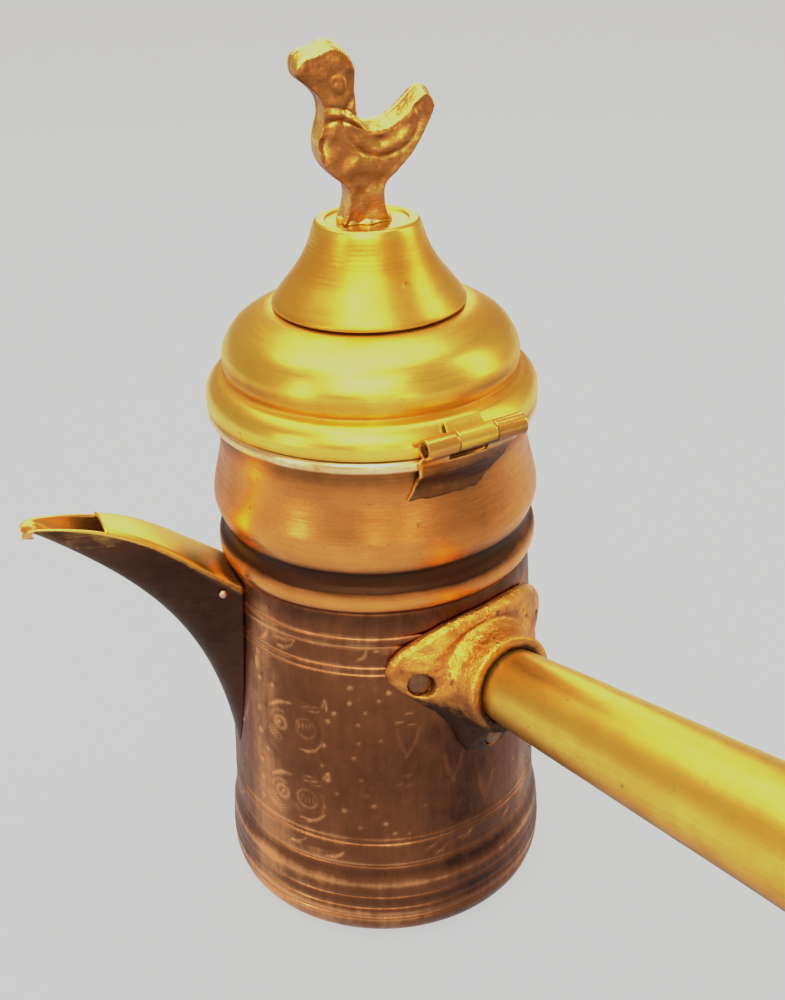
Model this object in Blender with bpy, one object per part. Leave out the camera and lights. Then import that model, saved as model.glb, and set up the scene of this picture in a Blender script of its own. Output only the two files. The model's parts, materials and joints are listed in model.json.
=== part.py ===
"""A brass coffee pot with a hinged lid, a beaked side spout and a straight tubular handle.

Metres, +Z up. The origin is the centre of the flat underside of the base. The spout points along -X,
and an azimuth is measured about +Z from -Y towards +X.
"""

import math

import bmesh
import bpy
from mathutils import Matrix, Vector

# Fits
GAP = 0.0003  # between neighbours that are soldered, seated or riveted together
SEGMENTS = 36  # sides of a large turned piece
HANDLE_SEGMENTS = 28
SMALL_SEGMENTS = 12  # sides of a pin or a rivet

# Body, from the base up
BODY_RADIUS = 0.0420  # at the top of the cylinder
WALL = 0.0012
TAPER = 0.0034  # how much wider the cylinder is at its foot
FOOT_FLARE = 0.0018
FOOT_WIDEST_HEIGHT = 0.0095
BASE_INSET = 0.0067  # of the flat base inside the foot's widest part
RIDGE_STAND = 0.0012
RIDGE_HEIGHT = 0.0205
CYLINDER_HEIGHT = 0.0875  # from the ridge to the bead
BEAD_DEPTH = 0.0018  # how far the bead stands out
BEAD_WIDTH = 0.0080
GROOVE_WIDTH = 0.0050
BELLY_STAND = 0.0020
BELLY_RISE = 0.0040  # from the groove to the widest part of the neck
NECK_INSET = 0.0009
NECK_RISE = 0.0160  # from the widest part to the straight neck
MOUTH_RISE = 0.0105  # straight neck, up to the mouth

# Mouth ring
RING_WIDTH = 0.0023
RING_HEIGHT = 0.0040

# Spout, along -X
SPOUT_WALL = 0.0009
SPOUT_REACH = 0.0493  # from the body to the start of the nose
SPOUT_DROP = 0.0025  # of the spout's root below the bead
SPOUT_RISE = 0.0250  # of the spout's top line above its root
SPOUT_ROOT_ANGLE = math.radians(40)
SPOUT_TIP_ANGLE = math.radians(5)
KEEL_ROOT_ANGLE = math.radians(84)
KEEL_TIP_ANGLE = math.radians(38)
SPOUT_ROOT_WIDTH = 0.0200
SPOUT_TIP_WIDTH = 0.0072
SPOUT_TIP_DEPTH = 0.0029
SPOUT_FOOT_DROP = 0.0600  # from the bead to where the keel leaves the body
SPOUT_NOSE_LENGTH = 0.0028
COVER_THICKNESS = 0.0006
COVER_END = 0.72  # share of the top line that the cover strip closes
STRAINER_HOLE = 0.0045
STRAINER_PITCH = 0.0070
STRAINER_ROWS = (1, 2, 1, 2, 1)
PIN_HEAD = 0.0022
PIN_SHANK = 0.0011

# Handle and its cast bracket
HANDLE_AZIMUTH = math.radians(19)
HANDLE_TILT = math.radians(5.5)
HANDLE_DROP = 0.0228  # of the socket's centre below the bead
HANDLE_ROOT_RADIUS = 0.0100
HANDLE_END_RADIUS = 0.0163
HANDLE_LENGTH = 0.140  # outside the socket
HANDLE_WALL = 0.0012
HANDLE_INSERT = 0.0085  # inside the socket
CAP_RISE = 0.0035
CAP_EDGE = 0.0010
CAP_SPIGOT = 0.0050
SOCKET_LENGTH = 0.0130  # from the body to the socket's lip
SOCKET_WALL = 0.0034
FLANGE_EDGE = 0.0032
FLANGE_SPAN = 0.0290  # from the middle to the tip of a side lobe
FLANGE_SHIFT = 0.0020  # of the flange's middle past the socket's, away from the spout
FLANGE_TOP = 0.0192
FLANGE_DROP = 0.0255
RIVET_HEAD = 0.0066
RIVET_HEAD_HEIGHT = 0.0013
RIVET_SHANK = 0.0032
RIVET_SEAT = 0.0021  # thickness of flange left under a rivet's head

# Lid
LID_WALL = 0.0010
LID_OVERHANG = 0.0027  # beyond the neck
LID_EDGE = 0.0031  # depth of the turned-down edge
COVE_DEPTH = 0.0056
COVE_RISE = 0.0050  # of the cove above the edge
DOME_BULGE = 0.0006
DOME_RISE = 0.0174  # of the dome above the cove
DOME_LAP = 0.0064  # of the dome under the cone
COLLAR_CLEARANCE = 0.0011  # inside the neck
COLLAR_DEPTH = 0.0050
COLLAR_WALL = 0.0010
CONE_SHOULDER = 0.0137  # width of the dome that shows round the cone
CONE_HEIGHT = 0.0211
CONE_TOP_RADIUS = 0.0138
CONE_RECESS = 0.0006

# Hinge
HINGE_AZIMUTH = math.radians(12)
HINGE_RISE = 0.0050  # of its axis above the mouth
HINGE_LENGTH = 0.0280
HINGE_MIDDLE = 0.0106
HINGE_RADIUS = 0.0027
HINGE_SHEET = 0.0009
HINGE_CLEARANCE = 0.0010  # between the knuckles and the lid
HINGE_PLAY = 0.0004
PIN_INSET = 0.0015
LEAF_DROP = 0.0160  # of the body leaf below the hinge's axis
WINDOW_DROP = 0.0056

# Finial
BIRD_THICKNESS = 0.0074
STUD_RADIUS = 0.0020
WASHER_RADIUS = 0.0055
WASHER_THICKNESS = 0.0010

# Radii that follow
CYLINDER_LOW_RADIUS = BODY_RADIUS + TAPER
RIDGE_RADIUS = CYLINDER_LOW_RADIUS + RIDGE_STAND
FOOT_RADIUS = CYLINDER_LOW_RADIUS + FOOT_FLARE
BASE_RADIUS = FOOT_RADIUS - BASE_INSET
BELLY_RADIUS = BODY_RADIUS + BELLY_STAND
NECK_RADIUS = BODY_RADIUS - NECK_INSET
LID_RADIUS = NECK_RADIUS + LID_OVERHANG
COVE_RADIUS = LID_RADIUS - COVE_DEPTH
DOME_RADIUS = COVE_RADIUS + DOME_BULGE
CONE_RADIUS = DOME_RADIUS - CONE_SHOULDER
DOME_HOLE_RADIUS = CONE_RADIUS - DOME_LAP
COLLAR_RADIUS = NECK_RADIUS - WALL - COLLAR_CLEARANCE

# Heights that follow
BEAD_BOTTOM = RIDGE_HEIGHT + CYLINDER_HEIGHT
GROOVE_HEIGHT = BEAD_BOTTOM + BEAD_WIDTH + GROOVE_WIDTH / 2
BELLY_HEIGHT = GROOVE_HEIGHT + GROOVE_WIDTH / 2 + BELLY_RISE
NECK_HEIGHT = BELLY_HEIGHT + NECK_RISE
MOUTH_HEIGHT = NECK_HEIGHT + MOUTH_RISE
LID_BOTTOM = MOUTH_HEIGHT + GAP
SOCKET_HEIGHT = BEAD_BOTTOM - HANDLE_DROP
SPOUT_FOOT_HEIGHT = BEAD_BOTTOM - SPOUT_FOOT_DROP
CONE_BOTTOM = LID_BOTTOM + LID_EDGE + COVE_RISE + DOME_RISE + GAP
CONE_TOP = CONE_BOTTOM + CONE_HEIGHT


# ---------------------------------------------------------------- shape tools


def smooth_path(points, steps, closed=False):
    """Points along a curve through the given points, with `steps` chords between neighbours."""
    points = [Vector(point) for point in points]
    count = len(points)
    path = []
    for i in range(count if closed else count - 1):
        p1 = points[i]
        p2 = points[(i + 1) % count]
        p0 = points[i - 1] if closed or i > 0 else 2 * p1 - p2
        p3 = points[(i + 2) % count] if closed or i + 2 < count else 2 * p2 - p1
        for step in range(steps):
            t = step / steps
            path.append(
                0.5 * (2 * p1 + (p2 - p0) * t + (2 * p0 - 5 * p1 + 4 * p2 - p3) * t**2
                       + (3 * p1 - p0 - 3 * p2 + p3) * t**3)
            )
    return path if closed else path + [points[-1]]


def eased_curve(start, end, start_angle, end_angle, start_pull, end_pull, t):
    """A point on a cubic curve that leaves and arrives at the given slopes."""
    leave = start + start_pull * Vector((math.cos(start_angle), math.sin(start_angle)))
    arrive = end - end_pull * Vector((math.cos(end_angle), math.sin(end_angle)))
    near = (1 - t) ** 3 * start + 3 * t * (1 - t) ** 2 * leave
    return near + 3 * t**2 * (1 - t) * arrive + t**3 * end


def offset_path(path, distance, closed=False):
    """The 2D path moved to its left by `distance`."""
    moved = []
    for i, point in enumerate(path):
        before = path[i - 1] if closed or i > 0 else point
        after = path[(i + 1) % len(path)] if closed or i + 1 < len(path) else point
        along = (Vector(after) - Vector(before)).normalized()
        moved.append(Vector(point) + distance * Vector((-along.y, along.x)))
    return moved


def radius_at(profile, height):
    """Radius of a turned profile at a height, between the points either side of it."""
    for (r0, z0), (r1, z1) in zip(profile, profile[1:]):
        if z0 <= height <= z1 and z1 > z0:
            return r0 + (r1 - r0) * (height - z0) / (z1 - z0)
    return profile[-1][0]


def around(azimuth, radius, height):
    """The point at an azimuth and a distance from the pot's axis."""
    return Vector((radius * math.sin(azimuth), -radius * math.cos(azimuth), height))


def skin(mesh, rings, wrap):
    """Faces between neighbouring rings of vertices; a ring of one vertex closes to a point."""
    following = rings[1:] + rings[:1] if wrap else rings[1:]
    for ring, other in zip(rings, following):
        for i in range(max(len(ring), len(other))):
            corners = [ring[i % len(ring)], ring[(i + 1) % len(ring)],
                       other[(i + 1) % len(other)], other[i % len(other)]]
            mesh.faces.new(list(dict.fromkeys(corners)))


def turned(mesh, profile, segments, frame=Matrix()):
    """Turn a (radius, height) outline about Z. It ends on the axis, or it is a closed loop."""
    rings = []
    for radius, height in profile:
        count = segments if radius > 0 else 1
        turns = [2 * math.pi * i / count for i in range(count)]
        points = [Vector((radius * math.cos(a), radius * math.sin(a), height)) for a in turns]
        rings.append([mesh.verts.new(frame @ point) for point in points])
    skin(mesh, rings, wrap=profile[0][0] > 0)


def lofted(mesh, sections, wrap=False):
    """Skin equal closed sections. The two ends are capped, unless the last joins the first."""
    rings = [[mesh.verts.new(point) for point in section] for section in sections]
    skin(mesh, rings, wrap)
    if not wrap:
        mesh.faces.new(rings[0])
        mesh.faces.new(rings[-1])


def shell(outer, wall):
    """Closed outline of a sheet: the outer path from low to high, and back along its inside."""
    inner = offset_path(outer, wall)
    return [tuple(p) for p in outer] + [tuple(p) for p in reversed(inner)]


def add_piece(name, mesh, material, matrix=Matrix(), parent=None):
    """Make the named object from a bmesh that is given in the frame `matrix`."""
    bmesh.ops.recalc_face_normals(mesh, faces=mesh.faces)
    data = bpy.data.meshes.new(name)
    mesh.to_mesh(data)
    mesh.free()
    data.shade_smooth()
    data.set_sharp_from_angle(angle=math.radians(35))
    piece = bpy.data.objects.new(name, data)
    piece.data.materials.append(material)
    bpy.context.collection.objects.link(piece)
    piece.parent = parent
    piece.matrix_basis = matrix
    return piece


def add_cutter(name, mesh, matrix=Matrix()):
    bmesh.ops.recalc_face_normals(mesh, faces=mesh.faces)
    data = bpy.data.meshes.new(name)
    mesh.to_mesh(data)
    mesh.free()
    cutter = bpy.data.objects.new(name, data)
    cutter.matrix_basis = matrix
    cutter.hide_render = True
    cutter.display_type = "WIRE"
    bpy.context.collection.objects.link(cutter)
    return cutter


def add_boolean(piece, other, operation="DIFFERENCE"):
    modifier = piece.modifiers.new(other.name, "BOOLEAN")
    modifier.operation = operation
    modifier.solver = "EXACT"
    modifier.object = other


def metal(name, colour, roughness):
    material = bpy.data.materials.new(name)
    material.use_nodes = True
    shader = material.node_tree.nodes["Principled BSDF"]
    shader.inputs["Base Color"].default_value = (*colour, 1)
    shader.inputs["Metallic"].default_value = 1
    shader.inputs["Roughness"].default_value = roughness
    return material


def frame_along(origin, direction):
    """A frame at `origin` whose Z runs along `direction` and whose X stays level."""
    z = direction.normalized()
    x = Vector((0, 0, 1)).cross(z).normalized()
    y = z.cross(x)
    matrix = Matrix((x, y, z)).transposed().to_4x4()
    matrix.translation = origin
    return matrix


# ---------------------------------------------------------------- body


def body_outline():
    """Outer (radius, height) path of the body, from the edge of the base to the mouth."""
    foot = smooth_path(
        [(BASE_RADIUS, 0), (FOOT_RADIUS - 0.0010, FOOT_WIDEST_HEIGHT * 0.45),
         (FOOT_RADIUS, FOOT_WIDEST_HEIGHT), (RIDGE_RADIUS, RIDGE_HEIGHT)], 2)
    cylinder = [(CYLINDER_LOW_RADIUS, RIDGE_HEIGHT + 0.0060), (BODY_RADIUS, BEAD_BOTTOM)]
    bead = [
        (BODY_RADIUS + BEAD_DEPTH * math.sin(math.pi * i / 4), BEAD_BOTTOM + BEAD_WIDTH * i / 4)
        for i in range(1, 4)
    ]
    neck = smooth_path(
        [(BODY_RADIUS, GROOVE_HEIGHT), (BELLY_RADIUS, BELLY_HEIGHT),
         ((BELLY_RADIUS + NECK_RADIUS) / 2, (BELLY_HEIGHT + NECK_HEIGHT) / 2),
         (NECK_RADIUS, NECK_HEIGHT)], 2)
    path = foot + cylinder + bead + neck + [(NECK_RADIUS, MOUTH_HEIGHT)]
    return [tuple(point) for point in path]


def add_body(material):
    outer = body_outline()
    inner = [(0, WALL)] + [(r - WALL, max(z, WALL)) for r, z in outer[1:]]
    mesh = bmesh.new()
    turned(mesh, [(0, 0)] + outer + inner[::-1], SEGMENTS)
    body = add_piece("body_shell", mesh, material)
    add_boolean(body, add_cutter("rivet_holes", rivet_holes()))
    add_boolean(body, add_cutter("strainer_holes", strainer_holes()))
    return body


def add_mouth_ring(material):
    inside = NECK_RADIUS + GAP
    bottom = MOUTH_HEIGHT - RING_HEIGHT
    turns = [math.pi * i / 6 for i in range(7)]
    arc = [
        (inside + RING_WIDTH * math.sin(a), bottom + RING_HEIGHT * (1 - math.cos(a)) / 2) for a in turns
    ]
    mesh = bmesh.new()
    turned(mesh, arc, SEGMENTS)
    return add_piece("mouth_ring", mesh, material)


# ---------------------------------------------------------------- spout


def spout_top(t):
    """(distance from the axis, height) of the spout's top line, from its root (0) to its tip (1)."""
    root_height = BEAD_BOTTOM - SPOUT_DROP
    root = Vector((radius_at(body_outline(), root_height) + GAP, root_height))
    tip = root + Vector((SPOUT_REACH, SPOUT_RISE))
    reach = (tip - root).length
    return eased_curve(root, tip, SPOUT_ROOT_ANGLE, SPOUT_TIP_ANGLE, 0.42 * reach, 0.42 * reach, t)


def spout_keel(t):
    """(distance from the axis, height) of the lowest line of the spout."""
    root = Vector((radius_at(body_outline(), SPOUT_FOOT_HEIGHT) + GAP, SPOUT_FOOT_HEIGHT))
    tip = spout_top(1) - Vector((0, SPOUT_TIP_DEPTH))
    reach = (tip - root).length
    return eased_curve(root, tip, KEEL_ROOT_ANGLE, KEEL_TIP_ANGLE, 0.48 * reach, 0.34 * reach, t)


def spout_half_width(t):
    return (SPOUT_ROOT_WIDTH + (SPOUT_TIP_WIDTH - SPOUT_ROOT_WIDTH) * t**1.15) / 2


def on_spout(distance, side, height, t):
    """A point of the spout. Near the root it is scribed to the round of the body."""
    radius = radius_at(body_outline(), height)
    scribe = (radius - math.sqrt(radius**2 - side**2)) * max(0.0, 1 - t / 0.2)
    return Vector((-(distance - scribe), side, height))


def u_section(top, keel, half_width, wall, t):
    """Closed U section: down one side, round the keel, up the other, and back inside."""
    down = keel - top
    shares = [math.sin(math.pi / 2 * i / 6) for i in range(7)]

    def side_path(width, depth):
        path = []
        for sign, order in ((1, shares), (-1, shares[-2::-1])):
            for v in order:
                place = top + down * depth * v
                path.append((place.x, sign * width * math.sqrt(1 - v**1.6), place.y))
        return path

    outside = side_path(half_width, 1)
    inside = side_path(half_width - wall, 1 - 1.3 * wall / down.length)
    return [on_spout(x, y, z, t) for x, y, z in outside + inside[::-1]]


def trough_top(t):
    """The trough's upper edge runs under the cover strip."""
    return spout_top(t) - Vector((0, COVER_THICKNESS + GAP))


def add_spout_trough(material):
    stations = [i / 12 for i in range(13)]
    sections = [
        u_section(trough_top(t), spout_keel(t), spout_half_width(t), SPOUT_WALL, t) for t in stations
    ]
    tip_top, tip_keel = trough_top(1), spout_keel(1)
    nose = (
        (0.55, Vector((0, 0.0006)), Vector((0, -0.0010)), 0.70, SPOUT_WALL),
        (0.90, Vector((0, 0.0003)), Vector((0, -0.0012)), 0.50, SPOUT_WALL),
        (1.00, Vector((0, -0.0007)), Vector((0, -0.0002)), 0.40, SPOUT_WALL * 0.8),
    )
    for share, lift, droop, narrow, wall in nose:
        ahead = Vector((SPOUT_NOSE_LENGTH * share, 0))
        half_width = spout_half_width(1) * narrow
        sections.append(u_section(tip_top + ahead + lift, tip_keel + ahead + droop, half_width, wall, 1))
    mesh = bmesh.new()
    lofted(mesh, sections)
    trough = add_piece("spout_trough", mesh, material)
    add_boolean(trough, add_cutter("spout_pin_holes", pin_holes()))
    return trough


def add_spout_cover(material):
    sections = []
    for i in range(10):
        t = COVER_END * i / 9
        place = spout_top(t)
        ahead = (spout_top(t + 0.01) - place).normalized()
        lift = Vector((-ahead.y, ahead.x)) * COVER_THICKNESS
        half_width = spout_half_width(t)
        section = []
        for point, sides in ((place, (-1, 0, 1)), (place - lift, (1, 0, -1))):
            section += [on_spout(point.x, side * half_width, point.y, t) for side in sides]
        sections.append(section)
    mesh = bmesh.new()
    lofted(mesh, sections)
    return add_piece("spout_cover", mesh, material)


def strainer_holes():
    """Rows of round holes through the body wall behind the spout."""
    mesh = bmesh.new()
    middle = (SPOUT_FOOT_HEIGHT + BEAD_BOTTOM) / 2
    wide = radius_at(body_outline(), middle)
    for row, count in enumerate(STRAINER_ROWS):
        height = middle + (row - (len(STRAINER_ROWS) - 1) / 2) * STRAINER_PITCH
        for i in range(count):
            side = (i - (count - 1) / 2) * STRAINER_PITCH
            frame = frame_along(Vector((-wide - 0.004, side, height)), Vector((1, 0, 0)))
            length = 0.008 + wide - math.sqrt(wide**2 - side**2)
            drill = [(0, 0), (STRAINER_HOLE / 2, 0), (STRAINER_HOLE / 2, length), (0, length)]
            turned(mesh, drill, SMALL_SEGMENTS, frame)
    return mesh


def pin_frames():
    """Where the two spout pins go through the trough: Z points out of its side."""
    t, share = 0.10, 0.09
    top, keel = trough_top(t), spout_keel(t)
    place = top + (keel - top) * share
    width = spout_half_width(t) * math.sqrt(1 - share**1.6)
    frames = {}
    for name, side in (("spout_pin_near", -1), ("spout_pin_far", 1)):
        surface = on_spout(place.x, side * width, place.y, t)
        frames[name] = frame_along(surface, Vector((0, side, 0)))
    return frames


def pin_holes():
    mesh = bmesh.new()
    hole = PIN_SHANK / 2 + GAP
    for frame in pin_frames().values():
        turned(mesh, [(0, -0.003), (hole, -0.003), (hole, 0.003), (0, 0.003)], SMALL_SEGMENTS, frame)
    return mesh


def add_spout_pins(material):
    outside = 2 * GAP
    inside = -SPOUT_WALL - 3 * GAP
    head = PIN_HEAD / 2
    shank = PIN_SHANK / 2
    outline = [(0, outside + 0.0007), (head * 0.7, outside + 0.0005), (head, outside), (shank, outside),
               (shank, inside), (head * 0.8, inside), (head * 0.6, inside - 0.0005), (0, inside - 0.0006)]
    for name, frame in pin_frames().items():
        mesh = bmesh.new()
        turned(mesh, outline, SMALL_SEGMENTS)
        add_piece(name, mesh, material, frame)


# ---------------------------------------------------------------- handle


def socket_frame():
    """Frame of the handle: its origin is on the body's surface, and Z runs out along the handle."""
    foot = around(HANDLE_AZIMUTH, radius_at(body_outline(), SOCKET_HEIGHT), SOCKET_HEIGHT)
    out = around(HANDLE_AZIMUTH, math.cos(HANDLE_TILT), math.sin(HANDLE_TILT))
    return frame_along(foot, out)


def on_body(across, up, proud):
    """A point `across` and `up` from the socket's centre, measured on the body, and `proud` of it."""
    height = SOCKET_HEIGHT + up
    radius = radius_at(body_outline(), height)
    return around(HANDLE_AZIMUTH + across / radius, radius + proud, height)


def flange_outline():
    """Three-lobed outline of the bracket's flange, as (across, up) from the socket's centre."""
    half = [
        (0, FLANGE_TOP), (0.46, FLANGE_TOP * 0.93), (0.85, FLANGE_TOP * 0.65), (1.0, FLANGE_TOP * 0.32),
        (0.88, FLANGE_TOP * 0.02), (0.56, -FLANGE_DROP * 0.30), (0.38, -FLANGE_DROP * 0.62),
        (0.28, -FLANGE_DROP * 0.90), (0, -FLANGE_DROP),
    ]
    whole = half + [(-x, y) for x, y in half[-2:0:-1]]
    return smooth_path([(FLANGE_SHIFT + x * FLANGE_SPAN, y) for x, y in whole], 2, closed=True)


def bracket_rings():
    """Rings from the flange's edge up over the casting to the lip, and back down the bore."""
    frame = socket_frame()
    outline = flange_outline()
    angles = [math.atan2(p.y, p.x) for p in outline]
    bore = HANDLE_ROOT_RADIUS + GAP
    lip = bore + SOCKET_WALL

    def flange(share, proud):
        return [on_body(p.x * share, p.y * share, proud) for p in outline]

    def circle(radius, out):
        return [frame @ Vector((radius * math.cos(a), radius * math.sin(a), out)) for a in angles]

    def foot(share):
        ring = []
        for p, a in zip(outline, angles):
            spot = p.lerp(bore * Vector((math.cos(a), math.sin(a))), share)
            ring.append(on_body(spot.x, spot.y, GAP))
        return ring

    def blend(share, ring, other):
        return [a.lerp(b, share) for a, b in zip(ring, other)]

    return [
        flange(1.0, GAP),
        flange(1.0, FLANGE_EDGE * 0.6),
        flange(0.95, FLANGE_EDGE),
        blend(0.50, flange(0.86, FLANGE_EDGE * 1.05), circle(lip + 0.0028, FLANGE_EDGE * 1.6)),
        circle(lip + 0.0020, SOCKET_LENGTH * 0.30),
        circle(lip + 0.0006, SOCKET_LENGTH * 0.55),
        circle(lip, SOCKET_LENGTH - 0.0008),
        circle(lip - 0.0004, SOCKET_LENGTH),
        circle(bore, SOCKET_LENGTH),
        foot(1.0),
        foot(0.66),
        foot(0.33),
    ]


def rivet_frames():
    """Frames of the bracket's three rivets, on the body's surface with Z pointing out."""
    places = {
        "bracket_rivet_left": (-0.70 * FLANGE_SPAN, 0.16 * FLANGE_TOP),
        "bracket_rivet_right": (0.70 * FLANGE_SPAN, 0.16 * FLANGE_TOP),
        "bracket_rivet_lower": (0, -0.80 * FLANGE_DROP),
    }
    frames = {}
    for name, (across, up) in places.items():
        surface = on_body(FLANGE_SHIFT + across, up, 0)
        frames[name] = frame_along(surface, Vector((surface.x, surface.y, 0)))
    return frames


def rivet_holes():
    """Stepped drills: the shank's hole through body and flange, then a seat for the head."""
    hole = RIVET_SHANK / 2 + GAP
    seat = RIVET_HEAD / 2 + GAP
    top = 0.012
    outline = [(0, -0.006), (hole, -0.006), (hole, RIVET_SEAT), (seat, RIVET_SEAT), (seat, top), (0, top)]
    mesh = bmesh.new()
    for frame in rivet_frames().values():
        turned(mesh, outline, 2 * SMALL_SEGMENTS, frame)
    return mesh


def add_bracket(material):
    mesh = bmesh.new()
    lofted(mesh, bracket_rings(), wrap=True)
    bracket = add_piece("handle_bracket", mesh, material)
    add_boolean(bracket, add_cutter("rivet_seats", rivet_holes()))
    return bracket


def add_rivets(material):
    outside = RIVET_SEAT + GAP
    inside = -WALL - 2 * GAP
    head = RIVET_HEAD / 2
    shank = RIVET_SHANK / 2
    top = outside + RIVET_HEAD_HEIGHT
    outline = [(0, top), (head * 0.75, top - 0.0002), (head, outside + 0.0005), (head, outside),
               (shank, outside), (shank, inside), (head * 0.8, inside), (head * 0.7, inside - 0.0007),
               (0, inside - 0.0009)]
    for name, frame in rivet_frames().items():
        mesh = bmesh.new()
        turned(mesh, outline, SMALL_SEGMENTS)
        add_piece(name, mesh, material, frame)


def add_handle(material, cap_material):
    """The tapered tube, wedged in the socket, and the plug soldered into its far end."""
    frame = socket_frame()
    start = SOCKET_LENGTH - HANDLE_INSERT
    end = SOCKET_LENGTH + HANDLE_LENGTH
    outer = [(HANDLE_ROOT_RADIUS, start), (HANDLE_ROOT_RADIUS, SOCKET_LENGTH)]
    outer += [
        (HANDLE_ROOT_RADIUS + (HANDLE_END_RADIUS - HANDLE_ROOT_RADIUS) * share**0.9,
         SOCKET_LENGTH + HANDLE_LENGTH * share)
        for share in (0.25, 0.5, 0.75, 1)
    ]
    inner = [(r - HANDLE_WALL, z) for r, z in outer]
    mesh = bmesh.new()
    turned(mesh, outer + inner[::-1], HANDLE_SEGMENTS)
    add_piece("handle_tube", mesh, material, frame)

    spigot = HANDLE_END_RADIUS - HANDLE_WALL - 2 * GAP
    face = end + GAP
    rim = face + CAP_EDGE
    outline = [(0, end - CAP_SPIGOT), (spigot - 0.0006, end - CAP_SPIGOT),
               (spigot, end - CAP_SPIGOT * 0.6), (spigot, face), (HANDLE_END_RADIUS, face),
               (HANDLE_END_RADIUS, rim)]
    outline += [
        (HANDLE_END_RADIUS * math.cos(a), rim + CAP_RISE * math.sin(a))
        for a in (math.radians(30), math.radians(60))
    ]
    outline.append((0, rim + CAP_RISE))
    mesh = bmesh.new()
    turned(mesh, outline, HANDLE_SEGMENTS)
    add_piece("handle_end_cap", mesh, cap_material, frame)


# ---------------------------------------------------------------- lid


def lid_outline():
    """Outer (radius, height) path of the lid, from its turned-down edge to the hole under the cone."""
    edge_top = LID_BOTTOM + LID_EDGE
    cove = edge_top + COVE_RISE
    flange = [(LID_RADIUS, LID_BOTTOM)] + [
        (COVE_RADIUS + (LID_RADIUS - COVE_RADIUS) * math.cos(a), edge_top + COVE_RISE * math.sin(a))
        for a in (math.radians(22 * i) for i in range(4))
    ]
    dome = smooth_path(
        [(COVE_RADIUS, cove), (DOME_RADIUS, cove + DOME_RISE * 0.18),
         (DOME_RADIUS - 0.0002, cove + DOME_RISE * 0.33), (DOME_RADIUS - 0.0036, cove + DOME_RISE * 0.66),
         (DOME_RADIUS - 0.0084, cove + DOME_RISE * 0.86), (CONE_RADIUS, cove + DOME_RISE * 0.97),
         (DOME_HOLE_RADIUS, cove + DOME_RISE)], 2)
    return flange + [tuple(p) for p in dome]


def cone_outline():
    """Outer (radius, height) path of the cone, from its sharp lower edge to the stud's hole."""
    share = [(0.0, 0.0), (0.02, 0.06), (0.25, 0.22), (0.52, 0.39), (0.73, 0.56), (0.88, 0.73), (0.98, 0.90)]
    waist = [
        (CONE_RADIUS - (CONE_RADIUS - CONE_TOP_RADIUS) * inward, CONE_BOTTOM + CONE_HEIGHT * up)
        for inward, up in share
    ]
    shoulder = [(CONE_TOP_RADIUS - 0.0008, CONE_TOP - 0.0005), (CONE_TOP_RADIUS - 0.0022, CONE_TOP)]
    plate = CONE_TOP - CONE_RECESS
    return waist + shoulder + [(CONE_TOP_RADIUS - 0.0034, plate), (STUD_RADIUS + GAP, plate)]


def add_lid(brass, parent):
    outer = lid_outline()
    hinge = parent.matrix_basis.inverted()
    mesh = bmesh.new()
    turned(mesh, shell(outer, LID_WALL), SEGMENTS)
    add_piece("lid_dome", mesh, brass, hinge, parent)

    mesh = bmesh.new()
    turned(mesh, shell(cone_outline(), LID_WALL), SEGMENTS)
    add_piece("lid_cone", mesh, brass, hinge, parent)

    top = radius_height(outer, COLLAR_RADIUS) - LID_WALL - 3 * GAP
    bottom = LID_BOTTOM - COLLAR_DEPTH
    inside = COLLAR_RADIUS - COLLAR_WALL
    mesh = bmesh.new()
    turned(mesh, [(COLLAR_RADIUS, bottom), (COLLAR_RADIUS, top), (inside, top), (inside, bottom)], SEGMENTS)
    add_piece("lid_collar", mesh, brass, hinge, parent)


def radius_height(profile, radius):
    """Height at which a profile that narrows upwards first reaches a radius."""
    for (r0, z0), (r1, z1) in zip(profile, profile[1:]):
        if r1 <= radius <= r0 and r0 > r1:
            return z0 + (z1 - z0) * (r0 - radius) / (r0 - r1)
    return profile[-1][1]


# ---------------------------------------------------------------- finial


def bird_outline():
    """Side view of the bird in millimetres from the foot of its stem, beak towards -X."""
    points = [
        (-7.1, 0.0), (-5.8, 3.6), (-5.4, 8.2), (-8.3, 11.0), (-11.4, 14.7), (-12.6, 19.3), (-11.9, 23.3),
        (-11.0, 26.8), (-11.4, 30.5), (-13.7, 33.1), (-16.9, 36.1), (-17.0, 39.3), (-15.1, 41.1),
        (-12.0, 41.9), (-8.3, 43.0), (-4.8, 41.3), (-3.0, 37.5), (-3.1, 31.8), (-2.2, 26.7),
        (-0.2, 23.9), (5.1, 24.1), (9.2, 26.7), (14.2, 30.9), (16.5, 29.7), (17.0, 26.5),
        (15.0, 21.8), (11.5, 15.9), (7.4, 12.0), (4.4, 9.0), (3.9, 5.5), (4.4, 2.4), (5.7, 0.0),
    ]
    return [Vector(point) * 0.001 for point in points]


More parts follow.
